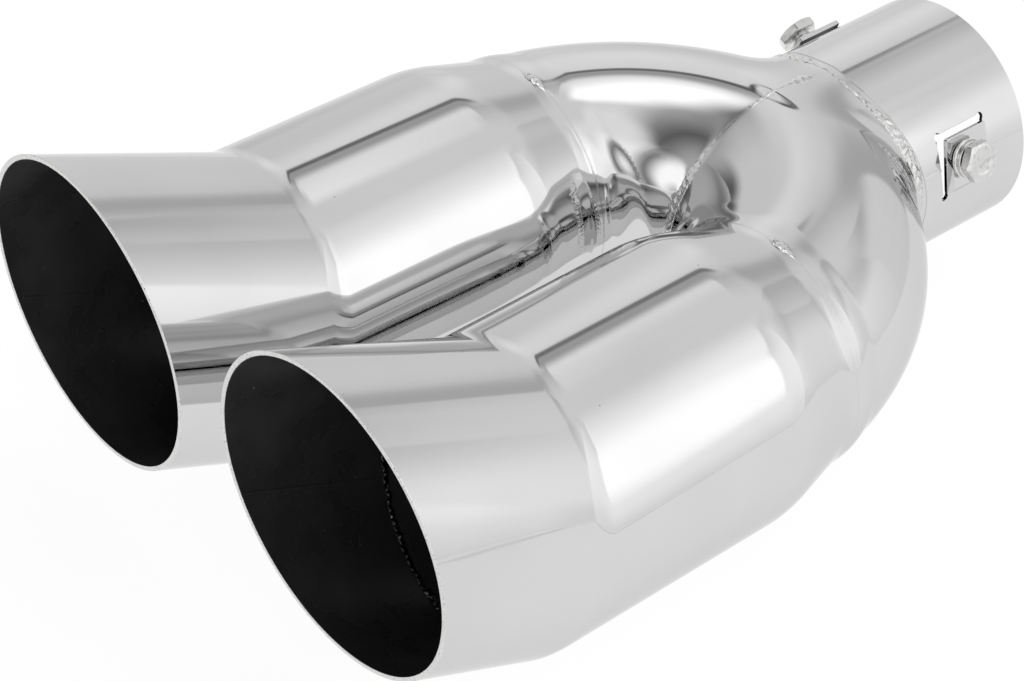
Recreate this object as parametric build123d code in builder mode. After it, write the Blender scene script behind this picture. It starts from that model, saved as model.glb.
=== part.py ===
from build123d import *
from math import atan, cos, degrees, radians, sin, sqrt, tan
import os

# A twin-outlet tip for the end of a car's tail pipe, welded up from stainless tube. Millimetres.
# The origin is the centre of the inlet collar's open end. +Y points out of the collar towards the
# tail pipe, +X is to the right for someone who looks along +Y, and +Z is up.

# Inlet collar
inlet_bore = 59.0
collar_wall = 1.2
collar_length = 45.5

# Elbows
elbow_od = 64.5
elbow_wall = 1.2
bend_radius = 62.0
elbow_kink = 12.7

# Barrels, which are swaged down to the elbows at their rear ends
barrel_od = 76.0
barrel_wall = 1.2
barrel_neck_od = 66.2
barrel_length = 87.8
neck_length = 2.4
swage_length = 18.4
swage_bend_radius = 18.0
barrel_toe_in = 1.0
# Clear gap between the barrels where the swages begin, which is where they come nearest
barrel_gap = 14.05

# Outlets, which kick upwards from the barrels
outlet_rise = 23.3
outlet_length = 50.6
mouth_slant = 28.5
mouth_turn = 3.1

# Distance along Y from the point where the elbows' centre lines meet to the collar's open end
arch_to_inlet = 63.93

# Lanced clamp tabs in the collar. Each angle runs from +X towards +Z, and the sign gives the
# side of the tab that is cut free.
tab_angles = (17.5, 156.0, 267.0)
tab_free_sides = (1, -1, 1)
tab_from_end = 21.8
tab_width = 14.4
tab_half_span = 8.5
tab_lift = 1.25
tab_bend_run = 2.6
tab_bend_radius = 1.3
slit_width = 1.2
relief_hole = 2.2

# Clamp screws and the threaded bosses that they run in
screw_thread = 6.0
thread_clearance = 0.1
screw_shank = 4.2
head_across_flats = 10.0
head_height = 2.8
head_face_od = 9.4
head_chamfer_angle = 30.0
tip_chamfer = 0.5
boss_od = 10.0
boss_height = 1.4
boss_chamfer = 0.4
head_stand_off = (0.7, 1.7, 0.7)

# Worked out from the driving dimensions
toe = radians(barrel_toe_in)
kink = radians(barrel_toe_in + elbow_kink)
swage_end = barrel_length - neck_length
swage_start = swage_end - swage_length
barrel_spacing = barrel_od + barrel_gap + 2 * swage_start * sin(toe)
# How far each bend's centre lies past the centre plane
bend_inset = bend_radius * cos(kink) + barrel_length * sin(toe) - barrel_spacing / 2
crease_to_arch = barrel_length * cos(toe) - bend_radius * sin(kink) + sqrt(bend_radius**2 - bend_inset**2)
crease_to_inlet = crease_to_arch + arch_to_inlet
collar_radius = inlet_bore / 2 + collar_wall
elbow_radius = elbow_od / 2
barrel_radius = barrel_od / 2
neck_radius = barrel_neck_od / 2
cut_margin = 15.0
bend_overrun = 20.0
hands = ((-1, "left"), (1, "right"))


def crease_centre(side):
    """Where the axes of one barrel and its outlet meet."""
    return Vector(side * barrel_spacing / 2, -crease_to_inlet, 0)


def barrel_direction(side):
    """Unit vector along one barrel, from the crease towards the elbow."""
    return Vector(-side * sin(toe), cos(toe), 0)


def outlet_direction():
    """Unit vector along an outlet, from the crease towards the mouth."""
    rise = radians(outlet_rise)
    return Vector(0, -cos(rise), sin(rise))


def seam_plane(side):
    """Plane of the weld between one barrel and its elbow, facing the elbow."""
    centre = crease_centre(side) + barrel_direction(side) * barrel_length
    return Plane(origin=centre, x_dir=(0, 0, 1), z_dir=barrel_direction(side))


def crease_plane(side):
    """Plane that halves the angle between one barrel and its outlet, facing the outlet."""
    normal = outlet_direction() - barrel_direction(side)
    return Plane(origin=crease_centre(side), z_dir=normal)


def mouth_plane(side):
    """Plane of the slant cut of one mouth, facing out of the outlet."""
    along = outlet_direction()
    across = Vector(side, 0, 0)
    up = Vector(0, sin(radians(outlet_rise)), cos(radians(outlet_rise)))
    high_side = up * cos(radians(mouth_turn)) - across * sin(radians(mouth_turn))
    centre = crease_centre(side) + along * outlet_length
    return Plane(origin=centre, z_dir=along - high_side * tan(radians(mouth_slant)))


def bent_tube(side, radius):
    """Solid bent bar along one elbow's centre line, trimmed on the centre plane."""
    bend_centre = seam_plane(side).origin - Vector(side * cos(kink), sin(kink), 0) * bend_radius
    first = kink - radians(bend_overrun)
    spoke = Vector(side * cos(first), sin(first), 0)
    heading = Vector(-side * sin(first), cos(first), 0)
    with BuildPart() as bar:
        with BuildSketch(Plane(origin=bend_centre + spoke * bend_radius, x_dir=spoke, z_dir=heading)):
            Circle(radius)
        revolve(axis=Axis(bend_centre, (0, 0, side)), revolution_arc=90 - degrees(first))
        split(bisect_by=Plane.YZ, keep=Keep.TOP if side > 0 else Keep.BOTTOM)
    return bar.part


def collar_plane(from_end):
    """Section plane of the collar at a distance from its open end, facing out of it."""
    return Plane(origin=(0, -from_end, 0), x_dir=(1, 0, 0), z_dir=(0, 1, 0))


def tab_plane(angle):
    """Section plane through one tab: x runs round the collar, y runs outwards."""
    turn = radians(angle)
    return Plane(origin=(0, -tab_from_end, 0), x_dir=(-sin(turn), 0, cos(turn)), z_dir=(0, 1, 0))


def screw_plane(angle, height):
    """Plane square to one clamp screw, at a radius from the collar's axis."""
    turn = radians(angle)
    outwards = Vector(cos(turn), 0, sin(turn))
    origin = Vector(0, -tab_from_end, 0) + outwards * height
    return Plane(origin=origin, x_dir=(0, 1, 0), z_dir=outwards)


# Heights of the clamp tab stack, as radii from the collar's axis
tab_underside = collar_radius * cos(atan(tab_half_span / collar_radius)) + tab_lift
tab_top = tab_underside + collar_wall
boss_top = tab_top + boss_height

os.makedirs("parts", exist_ok=True)

# Outlets: short wide tubes mitred to the barrels, with a slant-cut mouth
for side, hand in hands:
    outlet_run = outlet_length + barrel_radius * tan(radians(mouth_slant)) + cut_margin
    outlet_start = Plane(origin=crease_centre(side), x_dir=(1, 0, 0), z_dir=outlet_direction())
    with BuildPart() as outlet:
        with BuildSketch(outlet_start.offset(-cut_margin)):
            Circle(barrel_radius)
            Circle(barrel_radius - barrel_wall, mode=Mode.SUBTRACT)
        extrude(amount=outlet_run + cut_margin)
        split(bisect_by=crease_plane(side), keep=Keep.TOP)
        split(bisect_by=mouth_plane(side), keep=Keep.BOTTOM)
    outlet.part.label = f"outlet_{hand}"
    export_step(outlet.part, f"parts/outlet_{hand}.step")

# Barrels: straight tube with a swage down to the elbow's diameter: a cone between two wide bends
for side, hand in hands:
    lengthwise = Plane(origin=crease_centre(side), x_dir=barrel_direction(side), z_dir=(0, 0, 1))
    with BuildPart() as barrel:
        with BuildSketch(lengthwise):
            with BuildLine() as skin:
                FilletPolyline(
                    (-cut_margin, barrel_radius),
                    (swage_start, barrel_radius),
                    (swage_end, neck_radius),
                    (barrel_length, neck_radius),
                    radius=swage_bend_radius,
                )
                offset(amount=barrel_wall, side=Side.RIGHT)
            make_face()
        revolve(axis=Axis(lengthwise.origin, lengthwise.x_dir))
        split(bisect_by=crease_plane(side), keep=Keep.BOTTOM)
    barrel.part.label = f"barrel_{hand}"
    export_step(barrel.part, f"parts/barrel_{hand}.step")

# Elbows: bent tubes mitred on the centre plane, drawn out to a round neck for the collar
elbow_skins = {side: bent_tube(side, elbow_radius) for side, hand in hands}
elbow_bores = {side: bent_tube(side, elbow_radius - elbow_wall) for side, hand in hands}
apex = Vector(0, elbow_skins[1].bounding_box().max.Y - elbow_radius, 0)
for side, hand in hands:
    inner_half = Keep.TOP if side > 0 else Keep.BOTTOM
    with BuildPart() as elbow:
        with BuildSketch(Plane(origin=apex, x_dir=(1, 0, 0), z_dir=(0, 1, 0))):
            Circle(collar_radius)
        extrude(amount=-collar_length - apex.Y)
        split(bisect_by=Plane.YZ, keep=inner_half)
        add(elbow_skins[side])
        with BuildSketch(Plane(origin=apex, x_dir=(1, 0, 0), z_dir=(0, 1, 0))):
            Circle(collar_radius - collar_wall)
        extrude(amount=cut_margin - apex.Y, mode=Mode.SUBTRACT)
        add(elbow_bores[side], mode=Mode.SUBTRACT)
        split(bisect_by=seam_plane(side), keep=Keep.TOP)
    elbow.part.label = f"elbow_{hand}"
    export_step(elbow.part, f"parts/elbow_{hand}.step")

# Inlet collar: straight tube, saddled over the elbows, with three lanced tabs
with BuildPart() as collar:
    with BuildSketch(collar_plane(0)):
        Circle(collar_radius)
    extrude(amount=-collar_length)
    for side, hand in hands:
        add(elbow_skins[side], mode=Mode.SUBTRACT)
    with BuildSketch(collar_plane(0)):
        Circle(inlet_bore / 2)
    extrude(amount=-collar_length - cut_margin, mode=Mode.SUBTRACT)

    for angle, free_side in zip(tab_angles, tab_free_sides):
        # Window left by the three cuts
        window_span = 2 * tab_half_span + slit_width
        with BuildSketch(tab_plane(angle)):
            with Locations((free_side * slit_width / 2, collar_radius)):
                Rectangle(window_span, collar_radius)
        extrude(amount=tab_width / 2 + slit_width, both=True, mode=Mode.SUBTRACT)
        # Relief holes in the window's corners
        with BuildSketch(screw_plane(angle, collar_radius + cut_margin)):
            with GridLocations(tab_width + slit_width, 2 * tab_half_span, 2, 2):
                Circle(relief_hole / 2)
        extrude(amount=-cut_margin - collar_radius / 2, mode=Mode.SUBTRACT)
        # The tab: it rises from one edge of the window and runs flat to its free end
        root_turn = atan(tab_half_span / collar_radius) + 2 * slit_width / collar_radius
        root_radius = collar_radius - collar_wall / 2
        root = (-free_side * root_radius * sin(root_turn), root_radius * cos(root_turn))
        foot = (-free_side * tab_half_span, tab_underside - tab_lift - collar_wall / 2)
        shoulder = (-free_side * (tab_half_span - tab_bend_run), tab_underside + collar_wall / 2)
        free_end = (free_side * (tab_half_span - slit_width / 2), tab_underside + collar_wall / 2)
        with BuildSketch(tab_plane(angle)):
            with BuildLine():
                FilletPolyline(root, foot, shoulder, free_end, radius=tab_bend_radius)
            trace(line_width=collar_wall)
        extrude(amount=tab_width / 2, both=True)
        # Hole for the screw
        with BuildSketch(screw_plane(angle, tab_top + boss_height)):
            Circle(screw_thread / 2)
        extrude(amount=-boss_height - 2 * collar_wall, mode=Mode.SUBTRACT)
collar.part.label = "inlet_collar"
export_step(collar.part, "parts/inlet_collar.step")

# Clamp screws and bosses
for number, (angle, stand_off) in enumerate(zip(tab_angles, head_stand_off), start=1):
    outwards = screw_plane(angle, 0).z_dir
    with BuildPart() as boss:
        with BuildSketch(screw_plane(angle, tab_top)):
            Circle(boss_od / 2)
            Circle(screw_thread / 2, mode=Mode.SUBTRACT)
        extrude(amount=boss_height)
        top_face = boss.faces().sort_by(Axis((0, 0, 0), outwards))[-1]
        chamfer(top_face.outer_wire().edges(), boss_chamfer)
    boss.part.label = f"clamp_boss_{number}"
    export_step(boss.part, f"parts/clamp_boss_{number}.step")

    head_seat = boss_top + stand_off
    head_cone = radians(90 - head_chamfer_angle)
    with BuildPart() as screw:
        with BuildSketch(screw_plane(angle, head_seat)):
            RegularPolygon(head_across_flats / 2, 6, major_radius=False)
        extrude(amount=head_height)
        # Turned chamfer, which takes the corners off the head
        with BuildSketch(screw_plane(angle, head_seat)):
            Circle(head_face_od / 2 + head_height * tan(head_cone))
        extrude(amount=head_height, taper=degrees(head_cone), mode=Mode.INTERSECT)
        with BuildSketch(screw_plane(angle, head_seat)):
            Circle(screw_thread / 2 - thread_clearance)
        extrude(amount=-screw_shank)
        chamfer(screw.faces().sort_by(Axis((0, 0, 0), outwards))[0].edges(), tip_chamfer)
    screw.part.label = f"clamp_bolt_{number}"
    export_step(screw.part, f"parts/clamp_bolt_{number}.step")
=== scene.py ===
"""Looks of a twin-outlet exhaust tip in polished stainless tube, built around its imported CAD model."""
import logging
from dataclasses import dataclass, field
from enum import Enum, IntEnum
from itertools import product
from typing import Callable, Iterator, Optional, Sequence

import bmesh
import bpy
import numpy as np
from mathutils import Matrix, Vector
from mathutils.geometry import delaunay_2d_cdt


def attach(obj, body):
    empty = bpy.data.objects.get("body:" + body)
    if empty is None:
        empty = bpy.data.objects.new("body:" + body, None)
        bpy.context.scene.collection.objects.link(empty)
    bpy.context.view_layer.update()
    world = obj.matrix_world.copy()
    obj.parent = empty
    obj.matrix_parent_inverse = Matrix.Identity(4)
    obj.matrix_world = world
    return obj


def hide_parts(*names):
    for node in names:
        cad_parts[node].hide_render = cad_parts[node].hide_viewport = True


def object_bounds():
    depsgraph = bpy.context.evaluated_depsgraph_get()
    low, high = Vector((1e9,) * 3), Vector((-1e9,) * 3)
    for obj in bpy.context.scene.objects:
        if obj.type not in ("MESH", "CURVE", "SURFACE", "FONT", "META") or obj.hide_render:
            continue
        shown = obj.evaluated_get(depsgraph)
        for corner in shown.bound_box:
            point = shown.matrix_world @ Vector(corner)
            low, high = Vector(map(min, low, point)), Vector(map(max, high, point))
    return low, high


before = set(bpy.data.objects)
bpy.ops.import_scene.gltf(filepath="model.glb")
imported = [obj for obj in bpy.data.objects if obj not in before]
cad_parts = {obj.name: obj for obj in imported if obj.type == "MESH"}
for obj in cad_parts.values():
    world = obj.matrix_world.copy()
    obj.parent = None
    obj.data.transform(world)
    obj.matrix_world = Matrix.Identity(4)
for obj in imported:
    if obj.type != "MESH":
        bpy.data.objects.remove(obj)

log = logging.getLogger("exhaust_tip")

CAD_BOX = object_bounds()
MM = 0.001
BODY = "root"
SEED = 20
Y_AXIS, Z_AXIS = np.array([0.0, 1.0, 0.0]), np.array([0.0, 0.0, 1.0])
Array = np.ndarray
Field = Callable[[Array], Array]
Socket = bpy.types.NodeSocket
Material = bpy.types.Material
Object = bpy.types.Object
Pair = tuple[float, float]
Triple = tuple[float, float, float]


class Slot(Enum):
    """Material slot names."""

    TUBE = "polished_steel"
    SCREW = "screw_steel"


class Side(IntEnum):
    """Sides of the tip, as the sign of X."""

    RIGHT = 1
    LEFT = -1


def unit(v: Array) -> Array:
    """Vectors scaled to length one along their last axis."""
    return v / np.linalg.norm(v, axis=-1, keepdims=True)


def spoke(turn: Array) -> Array:
    """Unit vectors square to the collar's axis, at angles from +X towards +Z."""
    return np.stack([np.cos(turn), np.zeros_like(turn), np.sin(turn)], -1)


def run_of(path: Array) -> Array:
    """Distance along a path to each of its points."""
    return np.concatenate([[0.0], np.cumsum(np.linalg.norm(np.diff(path, axis=0), axis=1))])


def parabola(a: Array, b: Array, c: Array, t: float) -> Array:
    """Place at t on the curve from a to c that leaves and arrives along its lines to b."""
    return (1 - t) ** 2 * a + 2 * t * (1 - t) * b + t * t * c


def smoothstep(t: Array) -> Array:
    """Smooth ramp from 0 at t = 0 to 1 at t = 1."""
    t = np.clip(t, 0.0, 1.0)
    return t * t * (3.0 - 2.0 * t)


def smooth_min(a: Array, b: Array, blend: float) -> Array:
    """Smaller of two distance fields, with a fillet where they differ by less than the blend."""
    h = np.maximum(blend - np.abs(a - b), 0.0) / blend
    return np.minimum(a, b) - h * h * blend / 4.0


def bump_at(at: Array, centre: float, spread: float, period: float = 0.0) -> Array:
    """Bell curve of height one, round a circle where a period is given."""
    off = at - centre
    if period:
        off = (off + period / 2) % period - period / 2
    return np.exp(-((off / spread) ** 2))


def humps(degrees: Array, places: Sequence[Triple]) -> Array:
    """Sum of bell curves round a tube, each with its height, its centre and its spread in degrees."""
    return sum(height * bump_at(degrees, centre, spread, 360.0) for height, centre, spread in places)


def wavy(s: Array, rng: np.random.Generator, waves: int, shortest: float) -> Array:
    """Smooth random wave of about unit height.

    Args:
        s: positions along a line in mm.
        rng: seeded random generator.
        waves: how many sine waves are added up.
        shortest: shortest wave length in mm.

    Returns:
        The wave's height at each position.
    """
    out = np.zeros_like(s)
    for k in range(waves):
        length = shortest * (1.0 + 2.2 * k)
        out = out + np.sin(2 * np.pi * s / length + rng.uniform(0, 2 * np.pi)) / (1.0 + 0.25 * k)
    return out / np.sqrt(waves)


# Sizes


@dataclass(frozen=True)
class TipSizes:
    """Sizes of the tip in mm, the same as in the CAD source."""

    inlet_bore: float = 59.0
    wall: float = 1.2
    elbow_od: float = 64.5
    bend_radius: float = 62.0
    elbow_kink: float = 12.7
    barrel_od: float = 76.0
    barrel_neck_od: float = 66.2
    barrel_length: float = 87.8
    neck_length: float = 2.4
    swage_length: float = 18.4
    swage_bend_radius: float = 18.0
    barrel_toe_in: float = 1.0
    barrel_gap: float = 14.05
    outlet_rise: float = 23.3
    outlet_length: float = 50.6
    mouth_slant: float = 28.5
    mouth_turn: float = 3.1
    arch_to_inlet: float = 63.93
    tab_angles: Triple = (17.5, 156.0, 267.0)
    tab_free_sides: tuple[int, int, int] = (1, -1, 1)
    tab_from_end: float = 21.8
    tab_width: float = 14.4
    tab_half_span: float = 8.5
    tab_lift: float = 1.25
    tab_rise_run: float = 2.6
    slit_width: float = 1.2
    relief_hole: float = 2.2
    screw_thread: float = 6.0
    screw_shank: float = 4.2
    head_across_flats: float = 10.0
    head_height: float = 2.8
    boss_od: float = 10.0
    boss_height: float = 1.4
    head_stand_off: Triple = (0.7, 1.7, 0.7)

    @property
    def collar_radius(self) -> float:
        """Outer radius of the inlet collar."""
        return self.inlet_bore / 2 + self.wall

    @property
    def barrel_radius(self) -> float:
        """Outer radius of a barrel."""
        return self.barrel_od / 2

    @property
    def swage_start(self) -> float:
        """Distance from the crease to the corner where a barrel begins to narrow."""
        return self.barrel_length - self.neck_length - self.swage_length

    @property
    def toe(self) -> float:
        """Toe-in of the barrels in radians."""
        return np.radians(self.barrel_toe_in)

    @property
    def kink(self) -> float:
        """Angle in radians between Y and an elbow where it leaves its barrel."""
        return np.radians(self.barrel_toe_in + self.elbow_kink)

    @property
    def half_spacing(self) -> float:
        """Distance of a crease's centre from the centre plane."""
        return (self.barrel_od + self.barrel_gap) / 2 + self.swage_start * np.sin(self.toe)

    @property
    def bend_inset(self) -> float:
        """How far each bend's centre lies past the centre plane."""
        reach = self.bend_radius * np.cos(self.kink) + self.barrel_length * np.sin(self.toe)
        return reach - self.half_spacing

    @property
    def crease_to_inlet(self) -> float:
        """Distance along Y from a crease's centre to the collar's open end."""
        reach = self.barrel_length * np.cos(self.toe) - self.bend_radius * np.sin(self.kink)
        return reach + np.sqrt(self.bend_radius**2 - self.bend_inset**2) + self.arch_to_inlet

    @property
    def tab_underside(self) -> float:
        """Radius of a clamp tab's underside from the collar's axis."""
        return self.collar_radius * np.cos(np.arctan(self.tab_half_span / self.collar_radius)) + self.tab_lift

    def crease_centre(self, side: Side) -> Array:
        """Where the axes of one barrel and its outlet meet."""
        return np.array([side * self.half_spacing, -self.crease_to_inlet, 0.0])

    def barrel_axis(self, side: Side) -> Array:
        """Unit vector along one barrel, from the crease to the elbow."""
        return np.array([-side * np.sin(self.toe), np.cos(self.toe), 0.0])

    def outlet_axis(self) -> Array:
        """Unit vector along an outlet, from the crease to the mouth."""
        rise = np.radians(self.outlet_rise)
        return np.array([0.0, -np.cos(rise), np.sin(rise)])

    def mouth(self, side: Side) -> tuple[Array, Array]:
        """Slant cut of one mouth.

        Args:
            side: the outlet's side.

        Returns:
            A point on the cut, and the cut's normal, which points out of the outlet.
        """
        rise, slant, turn = np.radians([self.outlet_rise, self.mouth_slant, self.mouth_turn])
        up = np.array([0.0, np.sin(rise), np.cos(rise)])
        high_side = up * np.cos(turn) - np.array([side, 0.0, 0.0]) * np.sin(turn)
        normal = self.outlet_axis() - high_side * np.tan(slant)
        return self.crease_centre(side) + self.outlet_axis() * self.outlet_length, unit(normal)

    def seam_centre(self, side: Side) -> Array:
        """Centre of the weld between one barrel and its elbow."""
        return self.crease_centre(side) + self.barrel_axis(side) * self.barrel_length

    def bend_centre(self) -> Array:
        """Centre of the right elbow's bend."""
        outwards = np.array([np.cos(self.kink), np.sin(self.kink), 0.0])
        return self.seam_centre(Side.RIGHT) - outwards * self.bend_radius


# Finishes


class Nodes:
    """Small helper that builds the node tree of a material or of the world."""

    def __init__(self, name: str, world: bool = False) -> None:
        """Makes an empty tree for a material, or for a world, of that name."""
        self.owner = (bpy.data.worlds if world else bpy.data.materials).new(name)
        self.owner.use_nodes = True
        self.tree = self.owner.node_tree
        self.tree.nodes.clear()
        self.output = self.tree.nodes.new("ShaderNodeOutputWorld" if world else "ShaderNodeOutputMaterial")
        self.coords = self.tree.nodes.new("ShaderNodeTexCoord")

    def add(self, kind: str, inputs: Optional[dict] = None, **settings: object) -> bpy.types.Node:
        """Adds a node.

        Args:
            kind: Blender's name of the node type.
            inputs: socket name or index to another node's output or to a value. A colour is three numbers.
            **settings: attributes of the node.

        Returns:
            The new node.
        """
        node = self.tree.nodes.new(kind)
        for key, value in settings.items():
            setattr(node, key, value)
        for key, value in (inputs or {}).items():
            socket = node.inputs[key]
            if isinstance(value, Socket):
                self.tree.links.new(value, socket)
            else:
                socket.default_value = (*value, 1.0) if socket.type == "RGBA" else value
        return node

    def place(self, scale: Triple = (1.0, 1.0, 1.0)) -> Socket:
        """Object coordinates, stretched by a scale along each axis."""
        node = self.add("ShaderNodeMapping", {"Vector": self.coords.outputs["Object"], "Scale": scale})
        return node.outputs["Vector"]

    def noise(self, scale: float, detail: float = 4.0, stretch: Triple = (1.0, 1.0, 1.0),
              roughness: float = 0.55) -> Socket:
        """Noise over the object: cells per metre, octaves, stretch and the finer octaves' weight."""
        inputs = {"Vector": self.place(stretch), "Scale": scale, "Detail": detail, "Roughness": roughness}
        return self.add("ShaderNodeTexNoise", inputs).outputs["Fac"]

    def remap(self, value: Socket, low: float, high: float, to_low: float = 0.0,
              to_high: float = 1.0) -> Socket:
        """Value moved linearly from the range low to high to the range to_low to to_high, and clamped."""
        inputs = {"Value": value, "From Min": low, "From Max": high, "To Min": to_low, "To Max": to_high}
        return self.add("ShaderNodeMapRange", inputs).outputs["Result"]

    def specks(self, scale: float, size: Pair, chance: Pair) -> Socket:
        """Round specks in a few cells of a Voronoi pattern.

        Args:
            scale: cells per metre.
            size: distances from a speck's middle where its edge begins and ends.
            chance: range of the cells' random numbers over which specks come in.

        Returns:
            A socket that is 1 on a speck and 0 off it.
        """
        cells = self.add("ShaderNodeTexVoronoi", {"Vector": self.place(), "Scale": scale}, feature="F1")
        spot = self.remap(cells.outputs["Distance"], *size, 1.0, 0.0)
        number = self.add("ShaderNodeSeparateColor", {"Color": cells.outputs["Color"]}).outputs[0]
        return self.math("MULTIPLY", spot, self.remap(number, *chance))

    def math(self, operation: str, a: object, b: object = 0.0) -> Socket:
        """One arithmetic step between two values or sockets."""
        return self.add("ShaderNodeMath", {0: a, 1: b}, operation=operation).outputs[0]

    def blend(self, factor: Socket, a: object, b: object) -> Socket:
        """Mix of two numbers."""
        return self.add("ShaderNodeMix", {0: factor, 2: a, 3: b}, data_type="FLOAT").outputs[0]

    def mix(self, factor: Socket, a: object, b: object) -> Socket:
        """Mix of two colours."""
        return self.add("ShaderNodeMix", {0: factor, 6: a, 7: b}, data_type="RGBA").outputs[2]

    def bump(self, height: Socket, strength: float, distance: float,
             normal: Optional[Socket] = None) -> Socket:
        """Bump from a height.

        Args:
            height: height socket.
            strength: share of the bump that is used.
            distance: height of one unit in metres.
            normal: normal that is bumped further.

        Returns:
            The bumped normal's socket.
        """
        inputs = {"Height": height, "Strength": strength, "Distance": distance}
        if normal is not None:
            inputs["Normal"] = normal
        return self.add("ShaderNodeBump", inputs).outputs["Normal"]

    def surface(self, **sockets: object) -> Material:
        """Ends the tree in a surface shader, whose sockets' names have underscores for spaces."""
        shader = self.add("ShaderNodeBsdfPrincipled", {k.replace("_", " "): v for k, v in sockets.items()})
        return self.finish(shader.outputs["BSDF"])

    def finish(self, shader: Socket) -> bpy.types.ID:
        """Ends the tree in a shader."""
        self.tree.links.new(shader, self.output.inputs["Surface"])
        return self.owner


@dataclass(frozen=True)
class PolishedSteel:
    """Buffed stainless tube: near-mirror, with faint streaks, haze, pin pricks and hairline scratches."""

    tint: Triple = (0.68, 0.676, 0.678)
    smudge_shade: float = 0.95
    edge_tint: Triple = (0.82, 0.82, 0.82)
    haze: Pair = (0.02, 0.075)
    prick_tint: Triple = (0.16, 0.16, 0.16)
    prick_strength: float = 0.7
    wave_height: float = 0.00002
    streak_height: float = 0.0000008
    scratch_depth: float = 0.000004

    def material(self) -> Material:
        """Builds the material."""
        n = Nodes("tube_polished")
        smudge = n.noise(22.0, 5.0)
        streak = n.noise(150.0, 3.0, (1.0, 0.08, 1.0))
        blotch = n.remap(n.noise(75.0, 4.0, roughness=0.7), 0.58, 0.78, 0.0, 0.06)
        rough = n.math("ADD", n.remap(smudge, 0.35, 0.75, *self.haze), n.remap(streak, 0.3, 0.8, 0.0, 0.015))
        rough = n.math("ADD", rough, blotch)
        smudged = tuple(self.smudge_shade * c for c in self.tint)
        colour = n.mix(n.remap(smudge, 0.45, 0.8), self.tint, smudged)
        prick = n.specks(260.0, (0.03, 0.07), (0.93, 0.95))
        colour = n.mix(n.math("MULTIPLY", prick, self.prick_strength), colour, self.prick_tint)
        waves = n.bump(n.noise(26.0, 2.0), 1.0, self.wave_height)
        fine = n.bump(n.noise(900.0, 2.0, (1.0, 0.15, 1.0)), 0.5, self.streak_height, waves)
        lines = n.remap(n.noise(330.0, 2.0, (1.0, 0.03, 0.6)), 0.705, 0.73)
        lines = n.math("MULTIPLY", lines, n.remap(n.noise(30.0, 2.0), 0.5, 0.62))
        return n.surface(Base_Color=colour, Metallic=1.0, Roughness=rough, Specular_Tint=self.edge_tint,
                         Normal=n.bump(lines, 1.0, self.scratch_depth, fine))


@dataclass(frozen=True)
class PaintedShadeSkin:
    """Inside of the outlets and barrels: a near-black colour that paints the shade within the tubes, with
    dull gloss and pale specks of dust.
    """

    # Near-black tints: painted shade of the tubes' inside.
    tint: Triple = (0.03, 0.03, 0.031)
    cloud_tint: Triple = (0.06, 0.06, 0.062)
    dust_tint: Triple = (0.4, 0.4, 0.4)
    gloss: Pair = (0.22, 0.36)

    def material(self) -> Material:
        """Builds the material."""
        n = Nodes("inner_skin_painted_shade")
        dust = n.specks(330.0, (0.05, 0.09), (0.9, 0.94))
        cloud = n.noise(40.0, 4.0)
        # Painted shade: the inside's near-black colour, clouded at random.
        dark = n.mix(n.remap(cloud, 0.4, 0.8), self.tint, self.cloud_tint)
        return n.surface(Base_Color=n.mix(dust, dark, self.dust_tint), Metallic=0.0,
                         Roughness=n.remap(cloud, 0.3, 0.7, *self.gloss),
                         Normal=n.bump(n.noise(1200.0, 3.0), 0.6, 0.00001))


@dataclass(frozen=True)
class GrainedSteel:
    """Steel whose colour, gloss and relief follow a grain. Grains are given as Nodes.noise takes them."""

    name: str
    grain: tuple
    tint: Triple
    second_tint: Triple
    second_range: Pair
    gloss: tuple[float, float, float, float]
    relief: Pair
    relief_grain: tuple = ()
    scuff_grain: tuple = ()
    scuff_gloss: tuple = (0.45, 0.7, 0.0, 0.1)

    def material(self) -> Material:
        """Builds the material."""
        n = Nodes(self.name)
        grain = n.noise(*self.grain)
        colour = n.mix(n.remap(grain, *self.second_range), self.tint, self.second_tint)
        rough = n.remap(grain, *self.gloss)
        if self.scuff_grain:
            rough = n.math("ADD", rough, n.remap(n.noise(*self.scuff_grain), *self.scuff_gloss))
        height = n.noise(*self.relief_grain) if self.relief_grain else grain
        normal = n.bump(height, *self.relief)
        return n.surface(Base_Color=colour, Metallic=1.0, Roughness=rough, Normal=normal)


# Unpolished inside of the inlet and elbows: satin, with drawing lines; its near-black tints are painted shade
# of the tubes' inside.
MILL_FINISH_IN_PAINTED_SHADE = GrainedSteel(
    "mill_steel_painted_shade", grain=(60.0, 5.0), tint=(0.09, 0.088, 0.086), second_tint=(0.045, 0.044, 0.043),
    second_range=(0.35, 0.75), gloss=(0.3, 0.7, 0.3, 0.45), relief=(0.5, 0.00001),
    relief_grain=(1500.0, 3.0, (1.0, 0.05, 1.0)))
# Saw-cut edge of the wall at the mouths: bright, with fine cross marks and burrs.
RAW_EDGE = GrainedSteel(
    "raw_cut_edge", grain=(2600.0, 3.0, (1.0, 0.35, 1.0), 0.7), tint=(0.72, 0.715, 0.71),
    second_tint=(0.16, 0.155, 0.15), second_range=(0.55, 0.7), gloss=(0.3, 0.7, 0.18, 0.42),
    relief=(0.7, 0.00008))
# Weld metal that was ground and buffed over: bright high spots and dark pits.
WELD_STEEL = GrainedSteel(
    "weld_dressed", grain=(520.0, 4.0), tint=(0.66, 0.655, 0.65), second_tint=(0.24, 0.235, 0.23),
    second_range=(0.6, 0.72), gloss=(0.35, 0.7, 0.05, 0.2), relief=(0.5, 0.000014))
# Root of the weld inside a crease: dark, scaly metal with bright high spots.
WELD_ROOT = GrainedSteel(
    "weld_root", grain=(700.0, 4.0, (1.0, 1.0, 1.0), 0.6), tint=(0.05, 0.05, 0.052),
    second_tint=(0.34, 0.34, 0.35), second_range=(0.55, 0.7), gloss=(0.3, 0.7, 0.22, 0.5),
    relief=(0.7, 0.00015))
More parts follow.
